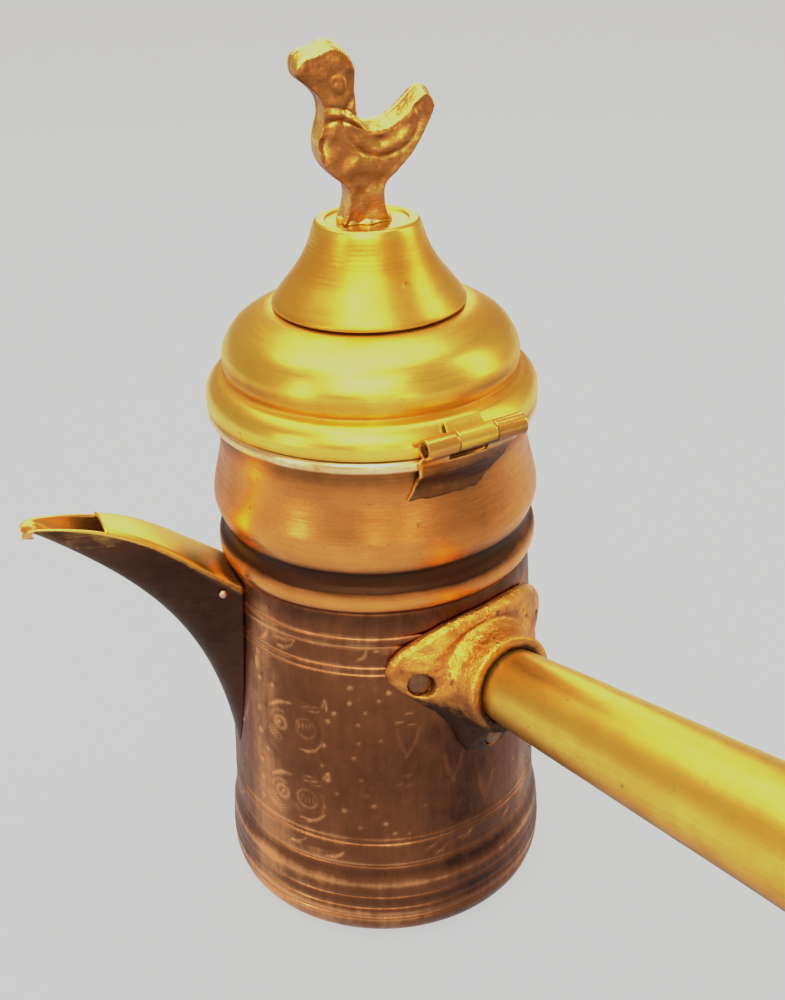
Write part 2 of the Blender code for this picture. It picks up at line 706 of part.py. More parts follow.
def add_bird(material, parent):
    """The cast bird: its outline, full in the middle and eased in at both faces, and its stud."""
    outline = bird_outline()
    base = CONE_TOP - CONE_RECESS + GAP
    half = BIRD_THICKNESS / 2
    sections = []
    for y, inset in ((-half, 0.0010), (-half + 0.0010, 0.0002), (half - 0.0010, 0.0002), (half, 0.0010)):
        path = offset_path(outline, -inset, closed=True)
        sections.append([Vector((p.x, y, base + max(p.y, 0.0))) for p in path])
    mesh = bmesh.new()
    lofted(mesh, sections)
    hinge = parent.matrix_basis.inverted()
    bird = add_piece("finial_bird", mesh, material, hinge, parent)

    plate = CONE_TOP - CONE_RECESS - LID_WALL
    washer_top = plate - GAP
    washer_bottom = washer_top - WASHER_THICKNESS
    end = washer_bottom - GAP
    mesh = bmesh.new()
    stud = [(0, base + 0.003), (STUD_RADIUS, base + 0.003), (STUD_RADIUS, end), (STUD_RADIUS * 1.6, end),
            (STUD_RADIUS * 1.3, end - 0.0010), (0, end - 0.0012)]
    turned(mesh, stud, SMALL_SEGMENTS)
    add_boolean(bird, add_cutter("finial_stud", mesh), "UNION")

    mesh = bmesh.new()
    bore = STUD_RADIUS + GAP
    turned(mesh, [(bore, washer_bottom), (WASHER_RADIUS, washer_bottom), (WASHER_RADIUS, washer_top),
                  (bore, washer_top)], 2 * SMALL_SEGMENTS)
    add_piece("finial_washer", mesh, material, hinge, parent)


# ---------------------------------------------------------------- hinge


def hinge_frame():
    """Frame on the hinge's axis: X along the axis, Y out from the pot, Z up."""
    radius = LID_RADIUS + HINGE_CLEARANCE + HINGE_RADIUS
    y = around(HINGE_AZIMUTH, 1, 0)
    z = Vector((0, 0, 1))
    matrix = Matrix((y.cross(z), y, z)).transposed().to_4x4()
    matrix.translation = around(HINGE_AZIMUTH, radius, MOUTH_HEIGHT + HINGE_RISE)
    return matrix


def roll(start, stop):
    """Middle line of a knuckle's sheet, from one angle to the other about the hinge's axis."""
    radius = HINGE_RADIUS - HINGE_SHEET / 2
    steps = max(4, round(abs(stop - start) / 24))
    turns = [math.radians(start + (stop - start) * i / steps) for i in range(steps + 1)]
    return [Vector((radius * math.cos(a), radius * math.sin(a))) for a in turns]


def sheet_section(middle):
    """Closed outline of a sheet, from the middle line of its thickness."""
    left = offset_path(middle, HINGE_SHEET / 2)
    right = offset_path(middle, -HINGE_SHEET / 2)
    return left + right[::-1]


def add_hinge_body_leaf(material, hinge):
    """Leaf on the neck: rolled at the top, stepped out round the mouth ring, wrapped to the neck below."""
    reach = hinge.translation.xy.length
    clear = GAP + HINGE_SHEET / 2
    ring = NECK_RADIUS + GAP + RING_WIDTH + clear - reach
    neck = NECK_RADIUS + clear - reach
    ring_middle = -HINGE_RISE - RING_HEIGHT / 2
    wrap_start = -HINGE_RADIUS - GAP
    wrap_end = -HINGE_RISE - RING_HEIGHT - 2 * HINGE_SHEET
    drop = smooth_path(
        [(-0.0011, wrap_start - 0.0001), ((ring - 0.0011) / 2, -HINGE_RISE * 0.9),
         (ring + 0.0001, ring_middle), ((ring + neck) / 2 + 0.0003, wrap_end), (neck, -LEAF_DROP)], 2)
    section = sheet_section(roll(-75, 215) + drop)
    sections = []
    for i in range(9):
        across = HINGE_LENGTH * (i / 8 - 0.5)
        points = []
        for p in section:
            wrap = min(1.0, max(0.0, (p.y - wrap_start) / (wrap_end - wrap_start)))
            back = (NECK_RADIUS - math.sqrt(NECK_RADIUS**2 - across**2)) * wrap
            points.append(Vector((across, p.x - back, p.y)))
        sections.append(points)
    mesh = bmesh.new()
    lofted(mesh, sections)
    leaf = add_piece("hinge_leaf_body", mesh, material, hinge)

    window = bmesh.new()
    top = HINGE_RADIUS * 2
    size = (HINGE_MIDDLE + 2 * HINGE_PLAY, HINGE_RADIUS * 8, top + WINDOW_DROP, 1)
    place = Matrix.Translation((0, 0, (top - WINDOW_DROP) / 2)) @ Matrix.Diagonal(size)
    bmesh.ops.create_cube(window, size=1, matrix=place)
    add_boolean(leaf, add_cutter("hinge_window", window, hinge))


def add_hinge_lid_leaf(material, hinge, parent):
    """Leaf on the lid: the middle knuckle, with a short tab that lies on the lid's flange."""
    reach = hinge.translation.xy.length
    clear = 2 * GAP + HINGE_SHEET / 2
    centre = Vector((COVE_RADIUS - reach, LID_BOTTOM + LID_EDGE - hinge.translation.z))
    tab = []
    for angle in (math.radians(a) for a in (24, 38, 52)):
        across = (LID_RADIUS - COVE_RADIUS + clear) * math.cos(angle)
        tab.append(centre + Vector((across, (COVE_RISE + clear) * math.sin(angle))))
    section = sheet_section(roll(-190, 100) + tab)
    half = HINGE_MIDDLE / 2
    mesh = bmesh.new()
    lofted(mesh, [[Vector((x, p.x, p.y)) for p in section] for x in (-half, half)])
    add_piece("hinge_leaf_lid", mesh, material, Matrix(), parent)


def add_hinge_pin(material, hinge):
    radius = HINGE_RADIUS - HINGE_SHEET - HINGE_PLAY
    half = HINGE_LENGTH / 2 - PIN_INSET
    mesh = bmesh.new()
    turned(mesh, [(0, -half), (radius, -half), (radius, half), (0, half)], SMALL_SEGMENTS,
           Matrix.Rotation(math.pi / 2, 4, "Y"))
    add_piece("hinge_pin", mesh, material, hinge)


# ---------------------------------------------------------------- assembly


def clear_scene():
    for thing in list(bpy.data.objects):
        bpy.data.objects.remove(thing, do_unlink=True)


def build_pot():
    clear_scene()
    copper_brass = metal("copper_brass", (0.62, 0.30, 0.13), 0.32)
    yellow_brass = metal("yellow_brass", (0.80, 0.60, 0.22), 0.30)
    dark_brass = metal("dark_brass", (0.34, 0.17, 0.10), 0.40)
    cast_brass = metal("cast_brass", (0.62, 0.38, 0.14), 0.55)

    add_body(copper_brass)
    add_mouth_ring(yellow_brass)
    add_spout_trough(dark_brass)
    add_spout_cover(yellow_brass)
    add_spout_pins(copper_brass)
    add_bracket(cast_brass)
    add_rivets(dark_brass)
    add_handle(yellow_brass, yellow_brass)

    hinge = hinge_frame()
    add_hinge_body_leaf(copper_brass, hinge)
    add_hinge_pin(dark_brass, hinge)
    lid = bpy.data.objects.new("lid_hinge_axis", None)
    lid.matrix_basis = hinge
    bpy.context.collection.objects.link(lid)
    add_hinge_lid_leaf(yellow_brass, hinge, lid)
    add_lid(yellow_brass, lid)
    add_bird(cast_brass, lid)


build_pot()
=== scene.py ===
"""Looks of the brass coffee pot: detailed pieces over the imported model, metals, floor, lights and camera.

Metres, in the part's own frame. The spout points along -X, and an azimuth is measured about +Z from -Y
towards +X. Lists of engraved marks are in degrees and millimetres, as an engraver would lay them out.
"""

import json
import math

import bmesh
import bpy
import numpy as np
from mathutils import Matrix, Vector


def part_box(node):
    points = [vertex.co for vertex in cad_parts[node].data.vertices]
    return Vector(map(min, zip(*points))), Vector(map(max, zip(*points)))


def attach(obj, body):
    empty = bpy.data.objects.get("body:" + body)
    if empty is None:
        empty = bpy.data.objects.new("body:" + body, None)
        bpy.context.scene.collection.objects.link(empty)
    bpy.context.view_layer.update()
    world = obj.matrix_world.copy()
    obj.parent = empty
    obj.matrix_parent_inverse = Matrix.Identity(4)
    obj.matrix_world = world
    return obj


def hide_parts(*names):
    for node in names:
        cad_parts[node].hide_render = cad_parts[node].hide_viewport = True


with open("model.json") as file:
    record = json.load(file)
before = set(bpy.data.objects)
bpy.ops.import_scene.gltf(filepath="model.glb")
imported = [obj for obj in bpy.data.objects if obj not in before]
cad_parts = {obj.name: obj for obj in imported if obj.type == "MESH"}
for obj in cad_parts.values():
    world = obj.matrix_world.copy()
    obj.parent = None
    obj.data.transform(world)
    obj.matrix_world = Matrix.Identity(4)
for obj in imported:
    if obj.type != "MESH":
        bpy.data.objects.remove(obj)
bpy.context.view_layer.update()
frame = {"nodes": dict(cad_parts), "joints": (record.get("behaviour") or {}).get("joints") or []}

MM = 0.001

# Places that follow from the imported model
BODY_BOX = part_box("body_shell")
RING_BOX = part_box("mouth_ring")
DOME_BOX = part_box("lid_dome")
CONE_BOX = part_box("lid_cone")
BIRD_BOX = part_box("finial_bird")
MOUTH = BODY_BOX[1].z
FOOT_RADIUS = BODY_BOX[1].y
HINGE = frame["joints"][0]
HINGE_REACH = Vector(HINGE["pos_m"]).xy.length

# Body, outside radius against height, up to the bead and above it
WALL = 0.0012
BEAD_BOTTOM = 0.1080
NECK_RADIUS = 0.0411
LID_WALL = 0.0010
LOWER_OUTLINE = [
    (0.0405, 0.0), (0.0430, 0.0010), (0.0462, 0.0043), (FOOT_RADIUS, 0.0095), (0.0470, 0.0150),
    (0.0467, 0.0205), (0.0455, 0.0248), (0.0454, 0.0275), (0.0450, 0.0360), (0.0438, 0.0660),
    (0.0424, 0.0980), (0.0420, BEAD_BOTTOM),
]
UPPER_OUTLINE = [
    (0.0420, BEAD_BOTTOM), (0.0433, 0.1096), (0.0438, 0.1120), (0.0434, 0.1145), (0.0422, 0.1164),
    (0.0418, 0.1185), (0.0428, 0.1212), (0.0440, 0.1250), (0.0438, 0.1285), (0.0426, 0.1335),
    (0.0415, 0.1385), (NECK_RADIUS, 0.1420), (NECK_RADIUS, 0.1465), (NECK_RADIUS, MOUTH),
]
LOWER_COLUMNS = 480
UPPER_COLUMNS = 360
HANDLE_COLUMNS = 180
SOLDER_COLUMNS = 96
RIVET_COLUMNS = 72
STUD_COLUMNS = 48
PIN_COLUMNS = 40

# Handle and its bracket
HANDLE_AZIMUTH = math.radians(19)
HANDLE_TILT = math.radians(5.5)
SOCKET_HEIGHT = 0.0852
SOCKET_LENGTH = 0.0130
HANDLE_ROOT_RADIUS = 0.0100
HANDLE_END_RADIUS = 0.0163
HANDLE_LENGTH = 0.140
HANDLE_WALL = 0.0012
HANDLE_INSERT = 0.0085
CAP_RISE = 0.0035
RIVET_HEAD = 0.0033
RIVET_SHANK = 0.0016
RIVET_SEAT = 0.0024

# Hinge
HINGE_AZIMUTH = math.radians(12)
HINGE_RADIUS = 0.0027
HINGE_SHEET = 0.0009
HINGE_LENGTH = 0.0280
HINGE_MIDDLE = 0.0106
HINGE_PLAY = 0.0004
LEAF_DROP = 0.0165

# Spout: its top line and keel, as distances from the axis and heights
SPOUT_ROOT = (0.0424, 0.1055)
SPOUT_TIP = (0.0917, 0.1305)
SPOUT_FOOT = (0.0445, 0.0480)
SPOUT_WALL = 0.0009
SECTION_STEPS = 27
COVER_STEP = 0.0007
COVER_END = 0.72
COVER_THICKNESS = 0.0006

# Finial
PLATE = CONE_BOX[1].z - 0.0006
BIRD_HALF = (BIRD_BOX[1].y - BIRD_BOX[0].y) / 2


# ---------------------------------------------------------------- shape tools


def lumps(points, size, seed):
    """Smooth random values from -1 to 1 at the points, with lumps of about the given size."""
    table = np.random.default_rng(seed).uniform(-1, 1, (16, 16, 16))
    cell = np.asarray(points, float) / size + 512
    base = np.floor(cell).astype(int)
    part = cell - base
    part = part * part * (3 - 2 * part)
    total = np.zeros(cell.shape[:-1])
    for corner in np.ndindex(2, 2, 2):
        index = (base + corner) % 16
        weight = np.prod(np.where(corner, part, 1 - part), axis=-1)
        total += weight * table[index[..., 0], index[..., 1], index[..., 2]]
    return total


def smooth_line(points, steps):
    """A curve through the points, with `steps` chords from each to the next."""
    points = np.array(points, float)
    ends = np.vstack([2 * points[0] - points[1], points, 2 * points[-1] - points[-2]])
    line = []
    for p0, p1, p2, p3 in zip(ends, ends[1:], ends[2:], ends[3:]):
        for t in np.arange(steps) / steps:
            line.append(0.5 * (2 * p1 + (p2 - p0) * t + (2 * p0 - 5 * p1 + 4 * p2 - p3) * t**2
                               + (3 * p1 - p0 - 3 * p2 + p3) * t**3))
    return np.array(line + [points[-1]])


def resampled(line, count):
    """The line with `count` evenly spaced points."""
    steps = lengths(np.diff(line, axis=0))
    along = np.concatenate([[0], np.cumsum(steps)])
    places = np.linspace(0, along[-1], count)
    return np.stack([np.interp(places, along, line[:, i]) for i in range(line.shape[1])], 1)


def grid_faces(rows, columns, wrap_rows=False, wrap_columns=True):
    i = np.arange(rows if wrap_rows else rows - 1)[:, None]
    j = np.arange(columns if wrap_columns else columns - 1)[None, :]
    below, above = i * columns, (i + 1) % rows * columns
    after = (j + 1) % columns
    return np.stack([below + j, below + after, above + after, above + j], -1).reshape(-1, 4).tolist()


def capped_grid(rings):
    """Faces from each ring to the next, with one face over the first ring and one over the last."""
    rows, columns = rings.shape[:2]
    start = (rows - 1) * columns
    return grid_faces(rows, columns) + [list(range(columns)), list(range(start, start + columns))]


def turned_points(outline, columns):
    """Rows of points for a (radius, height) outline turned about Z, starting at azimuth 0."""
    turns = np.arange(columns) * 2 * math.pi / columns
    radius, height = np.array(outline, float).T
    x = radius[:, None] * np.sin(turns)
    y = -radius[:, None] * np.cos(turns)
    return np.stack([x, y, np.repeat(height[:, None], columns, 1)], -1)


def pushed(points, distance):
    """The points moved away from the Z axis, each by its own distance."""
    flat = points * (1, 1, 0)
    outward = flat / np.maximum(np.linalg.norm(flat, axis=-1, keepdims=True), 1e-9)
    return points + outward * distance[..., None]


def azimuths(points):
    return np.degrees(np.arctan2(points[..., 0], -points[..., 1]))


def lengths(vectors):
    return np.linalg.norm(vectors, axis=-1)


def unit(values):
    """The values held between 0 and 1."""
    return np.clip(values, 0, 1)


def band(values, middle, width, power=2):
    """1 where the values are at the middle, falling smoothly to 0 on both sides; `power` squares it off."""
    return np.exp(-((values - middle) / width) ** power)


def linked(name, data):
    piece = bpy.data.objects.new(name, data)
    bpy.context.scene.collection.objects.link(piece)
    return piece


def evaluated(piece):
    """The piece's mesh with its modifiers applied; the piece itself is removed."""
    mesh = bpy.data.meshes.new_from_object(piece.evaluated_get(bpy.context.evaluated_depsgraph_get()))
    bpy.data.objects.remove(piece)
    return mesh


def face_lists(mesh):
    return [list(face.vertices) for face in mesh.polygons]


def mesh_of(name, points, faces):
    mesh = bpy.data.meshes.new(name)
    mesh.from_pydata(np.reshape(points, (-1, 3)).tolist(), [], faces)
    work = bmesh.new()
    work.from_mesh(mesh)
    bmesh.ops.recalc_face_normals(work, faces=work.faces)
    work.to_mesh(mesh)
    work.free()
    return mesh


def make_piece(name, points, faces, material, body, nodes, matrix=None, masks=None):
    """A smooth-shaded piece that rides on a CAD body and stands for its nodes.

    `masks` holds a value for each point, or is a function of the points' world places and normals.
    """
    mesh = mesh_of(name, points, faces)
    if callable(masks):
        turn = np.array(matrix or Matrix.Identity(4))
        places = vertex_values(mesh, "co") @ turn[:3, :3].T + turn[:3, 3]
        masks = masks(places, vertex_values(mesh, "normal") @ turn[:3, :3].T)
    for mask, values in (masks or {}).items():
        attribute = mesh.attributes.new(mask, "FLOAT", "POINT")
        attribute.data.foreach_set("value", np.ravel(values).astype(np.float32))
    mesh.shade_smooth()
    mesh.materials.append(material)
    piece = linked(name, mesh)
    piece.matrix_world = matrix or Matrix.Identity(4)
    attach(piece, body)
    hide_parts(*nodes)


def turned_piece(name, rings, material, body, nodes, matrix=None, masks=None):
    """A piece whose rings of points close on themselves, from the last ring back to the first."""
    faces = grid_faces(len(rings), rings.shape[1], wrap_rows=True)
    make_piece(name, rings, faces, material, body, nodes, matrix, masks)


def vertex_values(mesh, name):
    values = np.empty(3 * len(mesh.vertices), np.float32)
    mesh.vertices.foreach_get(name, values)
    return values.reshape(-1, 3).astype(float)


def cast_form(mesh, voxel, smooth_steps, bevel=0.0):
    """(points, faces, normals) of a mesh remade as one even skin, softened as a casting is."""
    piece = linked("form", mesh)
    if bevel:
        piece.modifiers.new("edges", "BEVEL").width = bevel
        piece.modifiers["edges"].segments = 3
    piece.modifiers.new("skin", "REMESH").voxel_size = voxel
    soften = piece.modifiers.new("soften", "SMOOTH")
    soften.factor = 0.5
    soften.iterations = smooth_steps
    form = evaluated(piece)
    return vertex_values(form, "co"), face_lists(form), vertex_values(form, "normal")


def painted_shade_below(_, normals):
    """Painted shade where the metal faces down."""
    return {"patina_and_shade": 0.6 * unit((0.1 - normals[:, 2]) / 0.7)}


def frame_along(origin, direction):
    """A frame at `origin` whose Z runs along `direction` and whose X stays level."""
    z = direction.normalized()
    x = Vector((0, 0, 1)).cross(z).normalized()
    matrix = Matrix((x, z.cross(x), z)).transposed().to_4x4()
    matrix.translation = origin
    return matrix


def around(azimuth, radius, height):
    return Vector((radius * math.sin(azimuth), -radius * math.cos(azimuth), height))


# ---------------------------------------------------------------- metals


class Shader:
    """Adds nodes to a material and links them by socket."""

    def __init__(self, name):
        self.material = bpy.data.materials.new(name)
        self.material.use_nodes = True
        self.tree = self.material.node_tree
        self.surface = self.tree.nodes["Principled BSDF"]

    def add(self, kind, inputs=None, **settings):
        node = self.tree.nodes.new(kind)
        for key, value in settings.items():
            setattr(node, key, value)
        for key, value in (inputs or {}).items():
            self.join(value, node.inputs[key])
        return node

    def join(self, value, socket):
        if isinstance(value, bpy.types.NodeSocket):
            self.tree.links.new(value, socket)
        else:
            socket.default_value = value

    def maths(self, operation, a, b=0.0, c=0.0, clamp=False):
        node = self.add("ShaderNodeMath", {0: a, 1: b, 2: c}, operation=operation, use_clamp=clamp)
        return node.outputs[0]

    def swayed(self, value, noise, amount):
        """The value raised or lowered by up to half the amount, as the noise goes."""
        return self.maths("MULTIPLY_ADD", self.maths("SUBTRACT", noise, 0.5), amount, value)

    def noise(self, vector, scale, detail=3.0, roughness=0.55):
        settings = {"Vector": vector, "Scale": scale, "Detail": detail, "Roughness": roughness}
        return self.add("ShaderNodeTexNoise", settings).outputs["Fac"]

    def stretched(self, vector, scale):
        return self.add("ShaderNodeMapping", {"Vector": vector, "Scale": scale}).outputs["Vector"]

    def between(self, value, low, high, start=0.0, end=1.0):
        inputs = {"Value": value, "From Min": low, "From Max": high, "To Min": start, "To Max": end}
        return self.add("ShaderNodeMapRange", inputs).outputs["Result"]

    def mask(self, name):
        return self.add("ShaderNodeAttribute", attribute_name=name).outputs["Fac"]

    def mixed(self, share, a, b):
        node = self.add("ShaderNodeMix", data_type="RGBA", clamp_factor=True)
        self.join(share, node.inputs["Factor"])
        self.join(a, node.inputs[6])
        self.join(b, node.inputs[7])
        return node.outputs[2]


def metal(name, bright, tarnish_and_shade, patina_and_shade, level, clouds=0.35, blotches=0.25, grain=(60, 60, 2600),
          grain_depth=0.12, smooth=0.30, dull=0.46, pits=0.0, spun=0.0):
    """Brass that darkens with `level`, a mask of oxide and painted shade, and cloudy and blotchy noise, and
    lightens under a mask of wear and painted highlights.

    `grain` stretches the fine scratches: large numbers run across them. `pits` adds casting pits.
    """
    s = Shader(name)
    place = s.add("ShaderNodeTexCoord").outputs["Object"]
    cloud = s.noise(place, 34.0, 5.0)
    blotch = s.noise(place, 170.0, 5.0, 0.62)
    speck = s.noise(place, 1500.0, 2.0)
    scratch = s.noise(s.stretched(place, grain), 1.0, 4.0, 0.65)

    # How dark the metal is: oxide and painted shade darken it, wear and painted highlights lighten it.
    darkening = s.swayed(level, cloud, 2 * clouds)
    darkening = s.swayed(darkening, blotch, 2 * blotches)
    darkening = s.maths("ADD", darkening, s.mask("patina_and_shade"))
    darkening = s.swayed(darkening, scratch, 0.35)
    darkening = s.maths("SUBTRACT", darkening, s.mask("wear_and_highlight"), clamp=True)

    ramp = s.add("ShaderNodeValToRGB", {"Fac": darkening})
    stops = ramp.color_ramp.elements
    stops[0].color = (*bright, 1)
    stops[1].color = (*patina_and_shade, 1)
    stops.new(0.45).color = (*tarnish_and_shade, 1)
    spots = s.between(s.noise(place, 420.0, 3.0, 0.6), 0.66, 0.78)
    dark = (*[0.35 * part for part in patina_and_shade], 1)
    colour = s.mixed(s.maths("MULTIPLY", spots, 0.45), ramp.outputs["Color"], dark)
    s.join(colour, s.surface.inputs["Base Color"])

    rough = s.between(darkening, 0.0, 1.0, smooth, dull)
    rough = s.swayed(rough, scratch, 0.22)
    rough = s.maths("MULTIPLY_ADD", spots, 0.18, rough, clamp=True)
    s.join(rough, s.surface.inputs["Roughness"])
    s.surface.inputs["Metallic"].default_value = 1.0

    height = s.maths("MULTIPLY", scratch, grain_depth)
    height = s.maths("MULTIPLY_ADD", speck, 0.12, height)
    height = s.maths("MULTIPLY_ADD", blotch, 0.6, height)
    if pits:
        holes = s.between(s.noise(place, 760.0, 3.0, 0.7), 0.52, 0.34)
        height = s.maths("MULTIPLY_ADD", holes, -pits, height)
    bump = s.add("ShaderNodeBump", {"Height": height, "Strength": 0.55, "Distance": 0.00012})
    s.join(bump.outputs["Normal"], s.surface.inputs["Normal"])
    if spun:
        s.surface.inputs["Anisotropic"].default_value = spun
        tangent = s.add("ShaderNodeTangent", direction_type="RADIAL", axis="Z")
        s.join(tangent.outputs["Tangent"], s.surface.inputs["Tangent"])
    return s.material


YELLOW = (1.0, 0.74, 0.135)
GOLD = (0.90, 0.48, 0.060)
ORANGE = (0.62, 0.22, 0.050)
BROWN = (0.20, 0.078, 0.036)
UMBER = (0.055, 0.022, 0.014)
PALE = (1.0, 0.76, 0.36)

MAT_LID = metal("lid_brass", YELLOW, GOLD, (0.42, 0.16, 0.03), 0.12, clouds=0.45, blotches=0.22,
                spun=0.15, grain=(70, 70, 2600), grain_depth=0.10, dull=0.48)
MAT_CONE = metal("cone_brass", YELLOW, GOLD, (0.40, 0.16, 0.03), 0.14, clouds=0.45,
                 spun=0.15, grain=(50, 50, 2200), grain_depth=0.14, dull=0.48)
MAT_RING = metal("mouth_ring_brass", (1.0, 0.80, 0.46), (0.80, 0.48, 0.16), (0.15, 0.06, 0.03), 0.10,
                 blotches=0.6, grain_depth=0.3, smooth=0.28)
MAT_UPPER = metal("neck_brass", (0.95, 0.44, 0.10), ORANGE, (0.07, 0.028, 0.014), 0.34, clouds=0.30,
                  blotches=0.16, spun=0.70, grain=(90, 90, 1900), grain_depth=0.16, smooth=0.20, dull=0.40)
# The lower body's dark browns are partly tarnished brass and partly painted dark reflection.
MAT_LOWER = metal("body_brass", (0.92, 0.43, 0.17), (0.27, 0.092, 0.036), UMBER, 0.46, clouds=0.34,
                  blotches=0.20, spun=0.50, grain=(500, 500, 90), grain_depth=0.14, smooth=0.24, dull=0.44)
# The spout's dark browns are partly tarnished brass and partly painted dark reflection.
MAT_SPOUT = metal("spout_brass", (0.95, 0.52, 0.13), (0.11, 0.044, 0.026), (0.034, 0.016, 0.011), 0.56,
                  clouds=0.55)
MAT_COVER = metal("spout_cover_brass", (1.0, 0.70, 0.14), GOLD, BROWN, 0.08,
                  grain=(200, 2600, 200), smooth=0.34)
MAT_CAST = metal("cast_brass", (1.0, 0.54, 0.10), (0.62, 0.235, 0.055), (0.065, 0.027, 0.015), 0.20,
                 clouds=0.3, blotches=0.60, grain_depth=0.1, dull=0.52, pits=2.2)
MAT_BIRD = metal("bird_brass", (1.0, 0.72, 0.17), (0.56, 0.21, 0.050), (0.100, 0.036, 0.016), 0.28,
                 clouds=0.3, blotches=0.4, grain_depth=0.08, smooth=0.26, dull=0.44, pits=0.5)
MAT_HANDLE = metal("handle_brass", YELLOW, (0.80, 0.38, 0.05), (0.055, 0.022, 0.014), 0.12, clouds=0.20,
                   blotches=0.16, grain=(1800, 1800, 40), smooth=0.36, dull=0.48)
MAT_HINGE = metal("hinge_brass", (0.95, 0.56, 0.12), (0.50, 0.20, 0.05), (0.085, 0.034, 0.020), 0.26,
                  blotches=0.35, smooth=0.26)
MAT_TAB = metal("hinge_tab_brass", YELLOW, GOLD, (0.10, 0.04, 0.02), 0.12, grain_depth=0.1)
MAT_RIVET = metal("rivet_brass", (0.40, 0.20, 0.10), (0.20, 0.10, 0.055), UMBER, 0.40,
                  grain_depth=0.1, smooth=0.28)
MAT_SOLDER = metal("solder_brass", PALE, (0.80, 0.46, 0.10), BROWN, 0.22, blotches=0.6, grain_depth=0.1)
MAT_PIN = metal("pin_brass", (0.80, 0.50, 0.34), (0.55, 0.30, 0.18), BROWN, 0.10,
                grain_depth=0.1, smooth=0.34)
MAT_INSIDE = metal("inside_brass", GOLD, BROWN, UMBER, 0.5, grain_depth=0.1, smooth=0.35)


# ---------------------------------------------------------------- body


class Chasing:
    """Marks cut and punched into the body: how deep each point is cut, and how far a burr stands up."""

    ARC = math.radians(1) * 43.0  # millimetres in one degree round the body

    def __init__(self, degrees, heights):
        self.s = degrees[None, :] * self.ARC
        self.z = heights[:, None]
        self.turn = 360 * self.ARC
        self.cut = np.zeros((heights.size, degrees.size))
        self.burr = np.zeros_like(self.cut)

    def mark(self, distance_to, centre, reach, width, depth):
        """Cut along the zero of a distance, within `reach` of a centre in degrees and millimetres."""
        s = (self.s - centre[0] * self.ARC + self.turn / 2) % self.turn - self.turn / 2
        rows = np.flatnonzero(np.abs(self.z[:, 0] - centre[1]) < reach)
        columns = np.flatnonzero(np.abs(s[0]) < reach)
        if not rows.size or not columns.size:
            return
        window = np.ix_(rows, columns)
        distance = distance_to(s[:, columns], self.z[rows] - centre[1])
        self.cut[window] = np.maximum(self.cut[window], depth * band(distance, 0, width))
        ridge = 0.45 * depth * band(distance, 1.7 * width, 0.8 * width)
        self.burr[window] = np.maximum(self.burr[window], ridge)

    def dot(self, degrees, height, size=0.62, depth=0.34, tall=1.0):
        def distance(s, z):
            return np.maximum(np.hypot(s, z / tall) - size * 0.35, 0)

        self.mark(distance, (degrees, height), 5 * size * tall, size * 0.50, depth)

    def ring(self, degrees, height, radius, width=0.30, depth=0.22, start=-180, stop=180):
        """A circle or part of one; its angles are in degrees from the right, anticlockwise."""
        def distance(s, z):
            angle = np.degrees(np.arctan2(z, s))
            away = np.abs(np.hypot(s, z) - radius)
            return np.where((angle >= start) & (angle <= stop), away, 9.0)

        self.mark(distance, (degrees, height), radius + 3, width, depth)

    def line(self, start, stop, width=0.30, depth=0.24, bow=0.0):
        """A stroke between two (degrees, height) points, bowed sideways by `bow` millimetres."""
        a = np.array([start[0] * self.ARC, start[1]])
        b = np.array([stop[0] * self.ARC, stop[1]])
        middle = (a + b) / 2
        along = b - a
        length = np.hypot(*along)
        along /= length

        def distance(s, z):
            u = s * along[0] + z * along[1]
            v = z * along[0] - s * along[1]
            share = np.clip(2 * u / length, -1, 1)
            over = np.maximum(np.abs(u) - length / 2, 0)
            thin = 1 + 0.9 * share**2  # a graver's cut is thinner at its ends
            return np.hypot(over, v - bow * (1 - share**2)) * thin

        self.mark(distance, (middle[0] / self.ARC, middle[1]), length / 2 + 3, width, depth)

    def hatch(self, degrees, height, slope, length, count, pitch, width=0.26, depth=0.26):
        """Short parallel strokes; `slope` is their angle in degrees from level."""
        run = np.array([math.cos(math.radians(slope)), math.sin(math.radians(slope))])
        side = np.array([-run[1], run[0]])
        for i in range(count):
            middle = side * pitch * (i - (count - 1) / 2)
            ends = [middle - run * length / 2, middle + run * length / 2]
            self.line(*[(degrees + e[0] / self.ARC, height + e[1]) for e in ends], width, depth)

    def groove(self, height, width=0.24, depth=0.30):
        distance = np.abs(self.z - height) + 0 * self.s
        self.cut = np.maximum(self.cut, depth * band(distance, 0, width))
        self.burr = np.maximum(self.burr, 0.35 * depth * band(distance, 2 * width, width))


GROOVES = (100.7, 98.1, 92.0, 89.8, 36.1, 34.3, 27.3, 26.2, 16.5, 12.7, 9.2, 8.2)
DOT_COLUMN = (88, 80, 70, 62.5, 53, 46.5, 40)
SCATTERED_DOTS = (
    (41, 86), (41, 81), (35, 77), (46, 78), (32, 74), (43, 74), (51, 82), (54, 84.5), (30, 66), (43, 68),
    (51, 69), (41, 63.5), (29, 59.5), (31, 54.5), (44, 56), (35, 50.5), (45, 51.5), (37, 45), (48, 47.5),
    (43, 40), (52, 41.5), (55, 38.5), (60, 38), (107, 47), (104, 43), (100, 41), (66, 46), (96, 58),
)
PANEL_STARTS = (-70, 50, 170)


